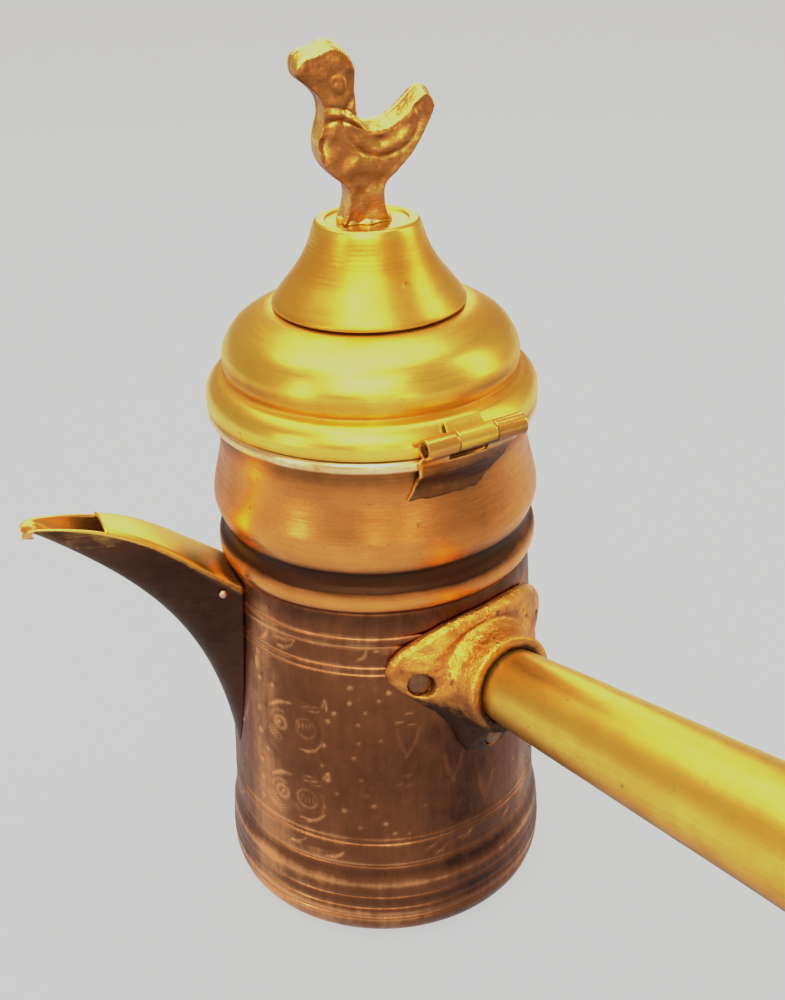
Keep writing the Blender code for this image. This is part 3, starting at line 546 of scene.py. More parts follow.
def chase_panel(chasing, start, rng):
    """One of the three panels round the body: two flower-like motifs, scattered dots and drops."""
    def at(degrees, height):
        return start + degrees + rng.normal(0, 0.35), height + rng.normal(0, 0.25)

    for height in DOT_COLUMN:
        chasing.dot(*at(1, height), 0.60)
    chasing.dot(*at(0.5, 84.6), 0.60, tall=2.4)
    chasing.dot(*at(8, 80), 0.50)
    chasing.dot(*at(5, 57.5), 0.50)
    for degrees, height in SCATTERED_DOTS:
        chasing.dot(*at(degrees, height), rng.uniform(0.48, 0.68), rng.uniform(0.24, 0.36))

    for foot in (62.0, 38.5):
        chasing.line(at(7, foot + 11.5), at(17, foot + 14.5), 0.36, 0.30, bow=0.8)
        chasing.hatch(*at(25, foot + 14.8), -8, 5.2, 3, 0.95, 0.20)
        chasing.line(at(29.5, foot + 16), at(31.5, foot + 19), 0.34, 0.26)
        chasing.line(at(31.5, foot + 19), at(32, foot + 15.5), 0.34, 0.26)
        chasing.ring(*at(12, foot + 7.2), 1.9)
        chasing.dot(*at(12, foot + 7.2), 0.5)
        chasing.ring(*at(12, foot + 7.2), 3.6, 0.26, 0.12, 60, 180)
        chasing.ring(*at(23, foot + 8.2), 3.0, 0.26, 0.18)
        chasing.hatch(*at(23, foot + 8.2), 82, 2.6, 4, 1.05, 0.18, 0.20)
        chasing.hatch(*at(9, foot + 2.2), -42, 5.0, 3, 1.15, 0.18, 0.22)
        chasing.line(at(20, foot + 1.2), at(29, foot + 3.8), 0.32, 0.28, bow=-1.3)
        chasing.ring(*at(20, foot + 7.2), 7.4, 0.26, 0.13, -75, 35)

    for degrees, height in ((58, 74.3), (62, 77.2), (62, 74.0), (57, 54.4), (60, 57.2), (60, 54.0)):
        chasing.hatch(*at(degrees, height), 4, 1.9, 1, 1)
    for degrees, height in ((60, 64), (77, 52.6), (91, 41.2), (108, 60)):
        left, right = at(degrees - 3.4, height + 9), at(degrees + 4.4, height + 8.6)
        chasing.line(left, (start + degrees, height), 0.30, 0.20, bow=-0.5)
        chasing.line(right, (start + degrees, height), 0.30, 0.20, bow=0.5)
        chasing.dot(start + degrees, height - 0.4, 0.42)
    chasing.ring(*at(90, 65), 1.8, 0.28, 0.2, -60, 180)

    for degrees in (13, 53, 92):
        chasing.line(at(degrees - 3, 97.0), at(degrees + 7, 97.4), 0.34, 0.26, bow=-0.5)
        chasing.line(at(degrees - 1, 93.4), at(degrees + 7, 97.4), 0.28, 0.28, bow=-1.4)
        chasing.line(at(degrees - 10, 93.6), at(degrees - 6, 96.6), 0.30, 0.24, bow=-0.5)
    for degrees, height in ((18, 31.4), (33, 29.6), (68, 32.4), (71, 29.9), (82, 32.4), (101, 30.6)):
        chasing.line(at(degrees - 3.4, height - 1.1), at(degrees + 3.4, height + 1.2), 0.26, 0.26, bow=-0.7)
        chasing.line(at(degrees - 2.4, height - 1.9), at(degrees + 3.4, height + 1.2), 0.26, 0.20, bow=-0.5)


def body_heights():
    """Heights of the rows up the engraved wall, in millimetres, closer where more is cut."""
    bands = ((0.6, 27, 1.25), (27, 37, 0.75), (37, 89, 0.60), (89, 102, 0.80), (102, 108, 1.2))
    heights = [np.arange(low, high, pitch) for low, high, pitch in bands]
    for groove in GROOVES:
        heights.append(groove + np.array([-0.42, -0.2, 0, 0.2, 0.42]))
    rows = np.unique(np.round(np.concatenate(heights + [[BEAD_BOTTOM / MM]]), 2))
    return rows[np.concatenate([[True], np.diff(rows) > 0.13])]


def wobble(points):
    """Small lasting dents and waves of beaten sheet metal, in metres."""
    return 0.16 * MM * lumps(points, 0.030, 3) + 0.05 * MM * lumps(points, 0.009, 4)


def build_lower_body():
    degrees = np.arange(LOWER_COLUMNS) * 360 / LOWER_COLUMNS
    heights = body_heights()
    chasing = Chasing(degrees, heights)
    rng = np.random.default_rng(11)
    for height in GROOVES:
        chasing.groove(height)
    for start in PANEL_STARTS:
        chase_panel(chasing, start, rng)

    outline = smooth_line(LOWER_OUTLINE, 10)
    radius = np.interp(heights * MM, outline[:, 1], outline[:, 0])
    wall = turned_points(np.stack([radius, heights * MM], 1), LOWER_COLUMNS)
    relief = (chasing.burr - chasing.cut) * MM
    waver = 0.14 * MM * np.sin(3 * np.radians(degrees) + 1) + 0.08 * MM * np.sin(7 * np.radians(degrees))
    fade = unit(heights / 8)[:, None]
    wall = pushed(wall, relief + fade * wobble(wall))
    wall[..., 2] += (fade * unit((108 - heights) / 5)[:, None]) * waver

    base_rings = turned_points([(0.0004, 0), (0.020, 0), (0.0385, 0), (0.0402, 0.0001)], LOWER_COLUMNS)
    lining = ((0.0420, BEAD_BOTTOM), (0.0436, 0.070), (0.0450, 0.036), (0.0455, 0.012), (0.0440, 0.004),
              (0.0405, WALL))
    inner = [(r - WALL, z) for r, z in lining] + [(0.020, WALL), (0.0004, WALL)]
    rings = np.concatenate([base_rings, wall, turned_points(inner, LOWER_COLUMNS)])

    cut = np.zeros(rings.shape[:2])
    burr = np.zeros_like(cut)
    rows = slice(len(base_rings), len(base_rings) + len(wall))
    cut[rows] = chasing.cut / 0.3
    burr[rows] = chasing.burr / 0.12
    height = rings[..., 2] / MM
    # Darker in the middle of the wall, at the very bottom and round the foot; painted shade in the hollow
    # above the ridge and under the bead.
    patina_and_shade = 0.16 * band(height, 62, 34) + 0.25 * band(height, 24.5, 2.2)
    patina_and_shade += 0.30 * band(height, 106.5, 3.5)
    patina_and_shade += 0.25 * (height < 0.5) + 0.22 * band(height, 14.5, 4.0)
    turn = azimuths(rings)
    # Painted shade down the side under the handle.
    patina_and_shade += 0.24 * band(turn, 14, 20) * unit((100 - height) / 30)
    wear_and_highlight = 0.14 * np.clip(burr, 0, 1.2) + 0.40 * unit(cut)
    # Painted highlights along the ridge and the foot's rim, and as upright bands round the wall.
    wear_and_highlight += 0.34 * band(height, 20.8, 1.0) + 0.30 * band(height, 10.5, 0.8)
    wear_and_highlight += 0.34 * band(turn, -67, 10) + 0.16 * band(turn, -45, 12) * (height < 30)
    wear_and_highlight += 0.14 * band(turn, 44, 9)
    make_piece("body_lower", rings, capped_grid(rings), MAT_LOWER, "pot", ["body_shell"],
               masks={"patina_and_shade": patina_and_shade, "wear_and_highlight": wear_and_highlight})


def build_upper_body():
    outer = smooth_line(UPPER_OUTLINE, 6)
    lip = [(NECK_RADIUS - WALL * (1 - math.cos(a)) / 2, MOUTH - 0.0006 + 0.0006 * math.sin(a))
           for a in np.linspace(0.4, math.pi - 0.2, 6)]
    inner = [(r - WALL, z) for r, z in resampled(outer[::-1], 30)]
    outline = np.vstack([outer[:-1], lip, inner])
    rings = turned_points(outline, UPPER_COLUMNS)
    ease = unit((rings[..., 2] - BEAD_BOTTOM) / 0.004) * unit((MOUTH - rings[..., 2]) / 0.006)
    rings = pushed(rings, 1.15 * ease * wobble(rings + (0, 0, 0.002)))
    height = rings[..., 2] / MM
    turn = azimuths(rings)
    # Oxide and painted shade in the groove above the bead, darkest towards the left front; painted shadow
    # under the mouth ring.
    dirt_and_shade = 0.70 + 0.30 * np.cos(np.radians(turn + 35))
    patina_and_shade = 1.00 * dirt_and_shade * band(height, 117.4, 3.4, 4) + 0.40 * band(height, 146, 3)
    # Painted shade in the crease under the bead, down the side under the handle and behind the hinge.
    patina_and_shade += 0.40 * band(height, 108.2, 1.6) + 0.22 * band(turn, 16, 13)
    patina_and_shade += 0.30 * band(turn, 12, 13) * unit((height - 138) / 6)
    # Painted highlights along the bead and the belly, and as upright streaks on both sides.
    wear_and_highlight = 0.24 * band(height, 111.4, 1.7) + 0.16 * band(height, 126, 4)
    wear_and_highlight += 0.24 * band(turn, -66, 9) + 0.14 * band(turn, 48, 10)
    turned_piece("body_upper", rings, MAT_UPPER, "pot", ["body_shell"],
                 masks={"patina_and_shade": patina_and_shade, "wear_and_highlight": wear_and_highlight})


def build_mouth_ring():
    low, high = RING_BOX[0].z, RING_BOX[1].z
    inside = 0.0414
    width = RING_BOX[1].y - inside
    turns = np.linspace(0, math.pi, 13)
    arc = [(inside + width * math.sin(a) ** 0.8, low + (high - low) * (1 - math.cos(a)) / 2) for a in turns]
    rings = turned_points(arc, UPPER_COLUMNS)
    nicks = unit(lumps(rings, 0.0022, 21) - 0.45) * 0.5 * MM
    rings = pushed(rings, (0.10 * MM * lumps(rings, 0.006, 20) - nicks) * np.sin(turns)[:, None])
    # Painted shade along the ring's lower edge; darker in the nicks.
    patina_and_shade = 0.45 * unit(1 - (rings[..., 2] - low) / 0.0009) + 1.4 * nicks / MM
    turn = azimuths(rings)
    # Painted shade behind the hinge.
    patina_and_shade += 0.9 * band(turn, 12, 9, 6)
    turned_piece("mouth_ring_worn", rings, MAT_RING, "pot", ["mouth_ring"],
                 masks={"patina_and_shade": patina_and_shade})


# ---------------------------------------------------------------- lid


def lid_outline():
    bottom, top = DOME_BOX[0].z, DOME_BOX[1].z
    rim = DOME_BOX[1].y
    flange = [(0, 0), (0, 1.8), (0.1, 3.3), (1.0, 5.3), (2.8, 7.2), (4.8, 8.0)]
    cove = [(5.4, 8.6), (4.9, 10.3), (4.8, 12.4), (5.3, 15.0)]
    shoulder = [(7.4, 18.6), (10.2, 21.2), (14.5, 23.6), (18.4, 24.8)]
    steps = [(rim - inward * MM, bottom + up * MM) for inward, up in flange + cove + shoulder]
    return smooth_line(steps + [(0.0190, top)], 6)


def inset(line, wall):
    """The line moved to its left by `wall`."""
    ahead = np.gradient(line, axis=0)
    ahead /= np.linalg.norm(ahead, axis=1, keepdims=True)
    return line + wall * np.stack([-ahead[:, 1], ahead[:, 0]], 1)


def build_dome():
    outer = lid_outline()
    outline = np.vstack([outer, inset(outer, LID_WALL)[::-2]])
    rings = turned_points(outline, UPPER_COLUMNS)
    ease = np.clip((rings[..., 2] - DOME_BOX[0].z) / 0.006, 0.15, 1)
    rings = pushed(rings, 1.1 * ease * wobble(rings + (0.01, 0, 0)))
    height = (rings[..., 2] - DOME_BOX[0].z) / MM
    # Darker at the crease above the flange, in the cove and at the bottom edge; painted shadow round the
    # shoulder where the cone's edge overhangs.
    patina_and_shade = 0.42 * band(height, 8.7, 1.0) + 0.20 * band(height, 24.9, 0.9)
    patina_and_shade += 0.30 * band(height, 0.2, 0.7)
    patina_and_shade += 0.42 * band(height, 11.8, 1.8) * (1 + 0.8 * lumps(rings, 0.018, 22))
    wear_and_highlight = 0.16 * band(height, 4.2, 1.6) + 0.16 * band(height, 18, 4)
    turned_piece("lid_dome_spun", rings, MAT_LID, "lid", ["lid_dome"],
                 masks={"patina_and_shade": patina_and_shade, "wear_and_highlight": wear_and_highlight})


def build_cone():
    bottom, top = CONE_BOX[0].z, CONE_BOX[1].z
    rim = CONE_BOX[1].y
    rise = top - bottom
    neck = 0.0138
    waist = [(rim - (rim - neck) * inward, bottom + rise * up) for inward, up in (
        (0.0, 0.0), (0.005, 0.03), (0.05, 0.07), (0.25, 0.21), (0.52, 0.39), (0.73, 0.56), (0.88, 0.73),
        (0.97, 0.88), (1.01, 0.94))]
    crown = [(neck - 0.0006, top - 0.0004), (neck - 0.0016, top), (neck - 0.0028, top - 0.0002),
             (neck - 0.0040, top - 0.0008), (0.0060, top - 0.0008), (0.0024, top - 0.0008)]
    outer = resampled(smooth_line(waist + crown, 8), 170)
    share = (outer[:, 1] - bottom) / rise
    tool_marks = 0.020 * MM * np.sin(share * 118) * band(share, 0.66, 0.20)
    outer[:, 0] += tool_marks
    outline = np.vstack([outer, inset(outer, LID_WALL)[::-6]])
    rings = turned_points(outline, UPPER_COLUMNS)
    rings = pushed(rings, 0.8 * wobble(rings + (0, 0.02, 0)))
    knock = lengths(rings - np.array([0.0036, -0.0188, bottom + 0.0088]))
    rings = pushed(rings, -0.35 * MM * band(knock, 0, 0.0007))
    rings[..., 2] -= 0.10 * MM * unit(1 - (rings[..., 2] - bottom) / 0.002) * (
        lumps(rings, 0.012, 31) > 0.2)
    height = (rings[..., 2] - bottom) / MM
    patina_and_shade = 0.30 * band(height, 0.3, 0.8) + 0.35 * (knock < 0.0008)
    patina_and_shade += 0.35 * unit((height - (rise / MM - 1.0)) / 0.3) * (
        lengths(rings[..., :2]) < neck - 0.0030)
    turn = azimuths(rings)
    # Painted shade over the upper cone, darker towards the right.
    side = 0.6 + 0.4 * np.cos(np.radians(turn - 10))
    patina_and_shade += 0.34 * side * unit((height - 7.5) / 5) * unit((rise / MM - 1.2 - height) / 2)
    wear_and_highlight = 0.20 * band(height, rise / MM - 0.8, 0.8)
    turned_piece("lid_cone_spun", rings, MAT_CONE, "lid", ["lid_cone"],
                 masks={"patina_and_shade": patina_and_shade, "wear_and_highlight": wear_and_highlight})


# ---------------------------------------------------------------- bird


def bird_outline():
    """Side view of the bird in millimetres from the foot of its stem, beak towards -X."""
    points = [
        (-7.1, -0.4), (-5.7, 3.6), (-5.3, 8.2), (-8.2, 11.0), (-11.4, 14.7), (-12.6, 19.3), (-11.9, 23.3),
        (-11.0, 26.8), (-11.5, 30.5), (-13.9, 33.1), (-17.0, 36.0), (-17.1, 39.2), (-15.2, 41.0),
        (-12.0, 41.9), (-8.3, 43.1), (-4.8, 41.5), (-2.9, 37.7), (-3.0, 31.8), (-2.3, 26.7),
        (-0.2, 23.9), (5.1, 24.1), (9.2, 26.7), (14.2, 31.0), (16.6, 29.8), (17.1, 26.5),
        (15.0, 21.8), (11.5, 15.9), (7.4, 12.0), (4.3, 9.0), (3.8, 5.5), (4.3, 2.4), (5.7, -0.4),
    ]
    return smooth_line(points, 8)


def distance_to_outline(points, outline):
    """How far each point is from the nearest side of a closed outline."""
    nearest = np.full(len(points), 1e9)
    for a, b in zip(outline, np.roll(outline, -1, 0)):
        run = b - a
        share = unit((points - a) @ run / max(run @ run, 1e-12))
        nearest = np.minimum(nearest, lengths(points - a - share[:, None] * run))
    return nearest


def distance_to_top(points, outline):
    """How far each point is from the sides of the outline that face up."""
    run = np.roll(outline, -1, 0) - outline
    x, z = outline.T
    turn = np.sign(np.sum(x * np.roll(z, -1) - np.roll(x, -1) * z))
    facing = -turn * run[:, 0] / lengths(run)
    nearest = np.full(len(points), 1e9)
    for spot in outline[(facing > 0.3) & (outline[:, 1] > 20)]:
        nearest = np.minimum(nearest, lengths(points - spot))
    return nearest


def bump(points, centre, radius, sharp=2.0):
    """A round hill that is 1 at its centre and about 0 beyond its radius."""
    away = lengths((points - centre) / radius)
    return np.exp(-(1.4 * away) ** sharp)


def bird_relief(side, rim):
    """Height in millimetres that the bird's faces stand out, from side-view places and rim distances."""
    inner = unit(rim / 1.6)
    relief = 0.55 * bump(side, (-7.1, 33.6), (2.6, 3.0), 6) - 0.30 * bump(side, (-7.9, 34.2), (0.9, 1.0), 4)
    for height, width, rise in ((27.9, 0.45, -0.35), (26.6, 0.8, 0.45), (25.0, 0.45, -0.40)):
        tilt = height - 0.16 * (side[:, 0] + 7)
        relief += rise * band(side[:, 1], tilt, width) * (side[:, 0] < 0)
    wing = np.hypot((side[:, 0] - 3.5) / 9.0, (side[:, 1] - 24.5) / 8.2)
    relief += 0.40 * band(wing, 0.82, 0.16) - 0.42 * band(wing, 1.06, 0.07)
    relief += 0.60 * bump(side, (-3.2, 13.6), (4.4, 3.0))
    relief -= 1.5 * unit(1 - rim / 3.4) * band(side[:, 1], 19, 4.5) * (side[:, 0] < -7)
    relief += 0.28 * lumps(np.stack([side[:, 0], side[:, 1], 0 * rim], 1), 3.2, 51)
    return relief * (0.25 + 0.75 * inner)


def build_bird():
    outline = bird_outline()[:-1]
    half = BIRD_HALF / MM
    slab = np.array([[(x, y, z) for x, z in outline] for y in (-half, half)])
    mesh = mesh_of("bird_slab", slab, capped_grid(slab))
    points, faces, normals = cast_form(mesh, 0.30, 5, bevel=0.75)

    side = points[:, [0, 2]]
    rim = distance_to_outline(side, outline)
    face_on = np.abs(normals[:, 1]) ** 2
    points[:, 1] += np.sign(points[:, 1]) * bird_relief(side, rim) * face_on
    shoulder = unit((0.6 - points[:, 1]) / (half + 0.6))
    points[:, 2] -= 1.5 * shoulder * band(distance_to_top(side, outline), 0, 2.4)
    lip = band(points[:, 1], 1.9, 0.30) * (1 - face_on) * (points[:, 2] > 22)
    wavy = 0.16 * lumps(points, 2.4, 52) + 0.05 * lumps(points, 0.7, 53)
    points += normals * (wavy - 0.42 * lip)[:, None]
    points[:, 2] = np.maximum(points[:, 2], 0)

    def masks(places, normals):
        # Painted highlight on faces turned up; painted shade on faces turned down and on the side faces,
        # which stands in for a dark reflection; darker in hollows on top; a lighter breast.
        up = unit(normals[:, 2] * 1.6)
        flat = unit(np.abs(normals[:, 1]) * 1.3 - 0.3)
        low = unit(-normals[:, 2] * 1.4)
        hollow = unit(-(wavy - 0.42 * lip) / 0.3)
        breast = bump(side, (-11.0, 19.0), (1.6, 5.0)) * (normals[:, 0] < -0.15)
        patina_and_shade = 0.26 * flat + 0.50 * low + 0.40 * hollow * up
        return {"patina_and_shade": patina_and_shade, "wear_and_highlight": 0.55 * up + 0.60 * breast}

    place = Matrix.Translation((0, 0, PLATE + 0.0003)) @ Matrix.Scale(MM, 4)
    places = np.array([place @ Vector(p) for p in points])
    make_piece("bird_cast", places, faces, MAT_BIRD, "lid", ["finial_bird"], masks=masks)

    turns = np.linspace(0, math.pi / 2, 7)
    heap = [(0.0046 + 0.0030 * math.cos(a), PLATE + 0.0001 + 0.0016 * math.sin(a)) for a in turns]
    heap = [(0.0074, PLATE - 0.0001)] + heap + [(0.0012, PLATE + 0.0012), (0.0012, PLATE - 0.0001)]
    rings = turned_points(smooth_line(heap, 2), SOLDER_COLUMNS)
    swell = 1 + 0.26 * lumps(rings * (1, 1, 0), 0.0030, 61)
    rings = rings * (0.95, 0.66, 1) * np.stack([swell, swell, 1 + 0 * swell], -1)
    rings[..., 2] += 0.00045 * lumps(rings, 0.0016, 62) * (rings[..., 2] > PLATE + 0.0003)
    rings[..., 0] -= 0.0006
    turned_piece("finial_solder", rings, MAT_SOLDER, "lid", ["finial_bird"])

    stud = [(0.0004, PLATE), (0.0020, PLATE), (0.0020, PLATE - 0.0029), (0.0031, PLATE - 0.0031),
            (0.0027, PLATE - 0.0040), (0.0004, PLATE - 0.0043)]
    rings = turned_points(stud, STUD_COLUMNS)
    turned_piece("finial_stud", rings, MAT_CAST, "lid", ["finial_bird"])


# ---------------------------------------------------------------- bracket, rivets and handle


def wall_radius(height):
    """Outside radius of the body between its foot and its bead."""
    return np.interp(height, *np.array(LOWER_OUTLINE[3:]).T[::-1])


def handle_frame():
    out = around(HANDLE_AZIMUTH, math.cos(HANDLE_TILT), math.sin(HANDLE_TILT))
    return frame_along(around(HANDLE_AZIMUTH, wall_radius(SOCKET_HEIGHT), SOCKET_HEIGHT), out)


def rivet_frame(name):
    low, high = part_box(name)
    middle = (low + high) / 2
    azimuth = math.atan2(middle.x, -middle.y)
    surface = around(azimuth, wall_radius(middle.z), middle.z)
    return frame_along(surface, Vector((surface.x, surface.y, 0)))


def build_bracket():
    node = frame["nodes"]["handle_bracket"]
    mesh = node.data.copy()
    mesh.transform(node.matrix_world)
    points, faces, normals = cast_form(mesh, 0.00038, 7)
    along = np.array(handle_frame().inverted())
    local = points @ along[:3, :3].T + along[:3, 3]
    outside = unit((np.hypot(local[:, 0], local[:, 1]) - HANDLE_ROOT_RADIUS - 0.0012) / 0.0008)
    clear = lengths(points[:, :2]) - wall_radius(points[:, 2])
    off_body = unit((clear - 0.0004) / 0.0008)
    open_skin = outside * off_body
    seats = np.zeros(len(points))
    for name in RIVETS:
        spot = np.array(rivet_frame(name).translation)
        seats = np.maximum(seats, band(lengths(points - spot), 0, 0.0048, 6))
    rough = 1 - 0.8 * seats
    pits = unit(lumps(points, 0.0011, 71) - 0.38) * unit(lumps(points, 0.006, 72) + 0.5)
    change = 0.26 * lumps(points, 0.0070, 73) + 0.10 * lumps(points, 0.0023, 74) - 0.42 * pits
    points = points + normals * (MM * open_skin * rough * change)[:, None]

    def masks(places, normals):
        # Painted shade on faces turned down and painted highlight on faces turned up; darker on its lower
        # part, in the pits and at the joints with the body and the socket.
        below = unit(0.42 - normals[:, 2])
        low = unit((0.0865 - places[:, 2]) / 0.010)
        patina_and_shade = 0.62 * below + 0.62 * low + 0.8 * pits + 0.5 * (1 - open_skin)
        wear_and_highlight = 0.34 * unit(normals[:, 2] - 0.1)
        return {"patina_and_shade": patina_and_shade, "wear_and_highlight": wear_and_highlight}

    make_piece("bracket_cast", points, faces, MAT_CAST, "pot", ["handle_bracket"], masks=masks)


RIVETS = ("bracket_rivet_left", "bracket_rivet_right", "bracket_rivet_lower")


def build_rivets():
    top = RIVET_SEAT + 0.0011
    inside = -WALL - 0.0006
    dome = [(RIVET_HEAD * math.sin(a), top - 0.0007 * (1 - math.cos(a)) ** 1.3)
            for a in np.linspace(0.05, 1.57, 12)]
    outline = dome + [(RIVET_HEAD, RIVET_SEAT), (RIVET_SHANK, RIVET_SEAT), (RIVET_SHANK, inside),
                      (0.0026, inside), (0.0023, inside - 0.0007), (0.0002, inside - 0.0009)]
    for count, name in enumerate(RIVETS):
        rings = turned_points(outline, RIVET_COLUMNS)
        spots = rings + count
        hammered = 0.16 * MM * lumps(spots, 0.0024, 81) + 0.05 * MM * lumps(spots, 0.0008, 82)
        rings[..., 2] += hammered * (rings[..., 2] > RIVET_SEAT)
        edge = band(np.hypot(rings[..., 0], rings[..., 1]), RIVET_HEAD, 0.0005)
        turned_piece(name + "_peened", rings, MAT_RIVET, "pot", [name], rivet_frame(name),
                     {"patina_and_shade": 0.3 * edge})


def handle_radius(out):
    share = unit((out - SOCKET_LENGTH) / HANDLE_LENGTH)
    return HANDLE_ROOT_RADIUS + (HANDLE_END_RADIUS - HANDLE_ROOT_RADIUS) * share**0.9


def handle_masks(places, normals):
    """Painted shade along the underside, standing in for a dark reflection, and a grimy ring where the tube
    enters its socket.
    """
    below = unit((0.30 - normals[:, 2]) / 1.25)
    origin = np.array(handle_frame().translation)
    out = lengths(places - origin) - SOCKET_LENGTH
    root = band(out, 0, 0.0022) + 0.25 * band(out, 0, 0.012)
    return {"patina_and_shade": 1.15 * below**1.7 + 0.35 * root}


def build_handle():
    place = handle_frame()
    start, end = SOCKET_LENGTH - HANDLE_INSERT, SOCKET_LENGTH + HANDLE_LENGTH
    out = np.linspace(start, end - 0.0003, 190)
    wall = HANDLE_WALL
    outer = np.stack([handle_radius(out), out], 1)
    inner = np.stack([handle_radius(out[::-6]) - wall, out[::-6]], 1)
    lip = [(handle_radius(end) - 0.0002, end), (handle_radius(end) - wall + 0.0002, end)]
    rings = turned_points(np.vstack([outer, lip, inner]), HANDLE_COLUMNS)
    rings = pushed(rings, 0.14 * MM * lumps(rings, 0.016, 91) + 0.035 * MM * lumps(rings, 0.004, 92))
    turned_piece("handle_tube_worn", rings, MAT_HANDLE, "pot", ["handle_tube"], place,
                 handle_masks)

    face = end + 0.0003
    spigot = HANDLE_END_RADIUS - wall - 0.0006
    crown = [(HANDLE_END_RADIUS * math.cos(a), face + 0.0010 + CAP_RISE * math.sin(a))
             for a in np.linspace(0, 1.565, 15)]
    plug = [(0.0001, end - 0.0050), (spigot - 0.0006, end - 0.0050), (spigot, end - 0.0042), (spigot, face)]
    brim = [(HANDLE_END_RADIUS - 0.0003, face), (HANDLE_END_RADIUS, face + 0.0003)]
    rings = turned_points(plug + brim + crown, HANDLE_COLUMNS)
    rings[..., 2] += 0.10 * MM * lumps(rings, 0.006, 93) * (rings[..., 2] > face + 0.001)
    turned_piece("handle_cap_worn", rings, MAT_HANDLE, "pot", ["handle_end_cap"], place,
                 handle_masks)


# ---------------------------------------------------------------- spout


def eased(start, end, start_angle, end_angle, start_pull, end_pull, t):
    """Points of a cubic curve that leaves and arrives at the given slopes, in degrees."""
    start, end = np.array(start), np.array(end)
    a, b = math.radians(start_angle), math.radians(end_angle)
    reach = np.linalg.norm(end - start)
    leave = start + start_pull * reach * np.array([math.cos(a), math.sin(a)])
    arrive = end - end_pull * reach * np.array([math.cos(b), math.sin(b)])
    t = np.asarray(t)[:, None]
    return (1 - t) ** 3 * start + 3 * t * (1 - t) ** 2 * leave + 3 * t**2 * (1 - t) * arrive + t**3 * end


def spout_top(t):
    return eased(SPOUT_ROOT, SPOUT_TIP, 40, 5, 0.42, 0.42, t)


def spout_keel(t):
    tip = (SPOUT_TIP[0], SPOUT_TIP[1] - 0.0029)
    return eased(SPOUT_FOOT, tip, 84, 38, 0.48, 0.34, t)


def spout_half_width(t):
    return (0.0200 - 0.0128 * np.asarray(t) ** 1.15) / 2


def on_spout(distance, side, height, t):
    """Places on the spout, which is scribed to the round of the body near its root."""
    radius = wall_radius(height)
    scribe = (radius - np.sqrt(radius**2 - side**2)) * unit(1 - t / 0.2)
    return np.stack([scribe - distance, side + 0 * distance, height + 0 * distance], -1)


def trough_section(depth, half_width, floor, rim):
    """A U of sheet as (share of the depth, side) points: down and up outside, then inside, with lips."""
    down = np.sin(np.linspace(0, math.pi / 2, SECTION_STEPS))
    path = np.concatenate([down, down[-2::-1]])
    sign = np.concatenate([np.ones(SECTION_STEPS), -np.ones(SECTION_STEPS - 1)])
    round_in = sign * np.sqrt(np.maximum(0, 1 - path**1.6))
    wall = min(SPOUT_WALL, half_width * 0.45)
    deep = max(0.04, (1 - 1.3 * wall / depth) * floor)
    outside = np.stack([path, half_width * round_in], 1)
    inside = np.stack([path * deep, (half_width - wall) * round_in], 1)[::-1]
    lip = np.array([[-rim / depth, half_width - wall / 2]])
    return np.concatenate([outside, lip * (1, -1), inside, lip])


def build_spout():
    t = np.concatenate([np.linspace(0, 1, 76), np.ones(16)])
    curl = np.concatenate([np.zeros(76), np.linspace(0, 1, 17)[1:]])
    top = spout_top(t) - np.array([0, COVER_STEP])
    keel = spout_keel(t)
    half_width = spout_half_width(t) * np.sqrt(1 - 0.80 * curl**2)
    bend = curl * math.radians(120)
    over = np.stack([np.sin(bend), np.cos(bend) - 1], 1)
    under = np.stack([np.sin(bend), 1 - np.cos(bend)], 1)
    top = top + over * (0.0034, 0.0019)
    keel = keel + np.stack([0.0012 * under[:, 0] - 0.0004 * under[:, 1], -0.0011 * under[:, 1]], 1)
    floor = 1 - 0.85 * curl**0.8

    rows = []
    for i in range(len(t)):
        down = keel[i] - top[i]
        loop = trough_section(np.linalg.norm(down), half_width[i], floor[i], 0.00022 * (1 - 0.5 * curl[i]))
        spots = top[i] + loop[:, :1] * down
        rows.append(on_spout(spots[:, 0], loop[:, 1], spots[:, 1], t[i]))
    rings = np.array(rows)
    beaten = 0.22 * MM * lumps(rings, 0.017, 101) + 0.07 * MM * lumps(rings, 0.006, 102)
    free = unit((-rings[..., 0] - 0.048) / 0.008)
    rings[..., 1] += np.sign(rings[..., 1]) * beaten * free * unit(np.abs(rings[..., 1]) / 0.002)

    rim = np.zeros(rings.shape[:2])
    lip = 2 * SECTION_STEPS - 1  # the column of the lip on the near side
    rim[:, [0, lip - 1, lip, lip + 1, -2, -1]] = 1
    inside = np.zeros(rings.shape[:2])
    inside[:, lip + 1:-1] = 1
    nose = np.repeat(curl[:, None], rings.shape[1], 1)
    wear_and_highlight = 0.80 * rim + 0.42 * inside + 1.3 * nose**0.5
    wear_and_highlight += 0.12 * unit((rings[..., 2] - 0.118) / 0.010)
    patina_and_shade = 0.22 * band(rings[..., 0], -0.060, 0.012) * (1 - inside)
    make_piece("spout_trough_beaten", rings, capped_grid(rings), MAT_SPOUT, "pot",
               ["spout_trough"], masks={"patina_and_shade": patina_and_shade, "wear_and_highlight": wear_and_highlight})


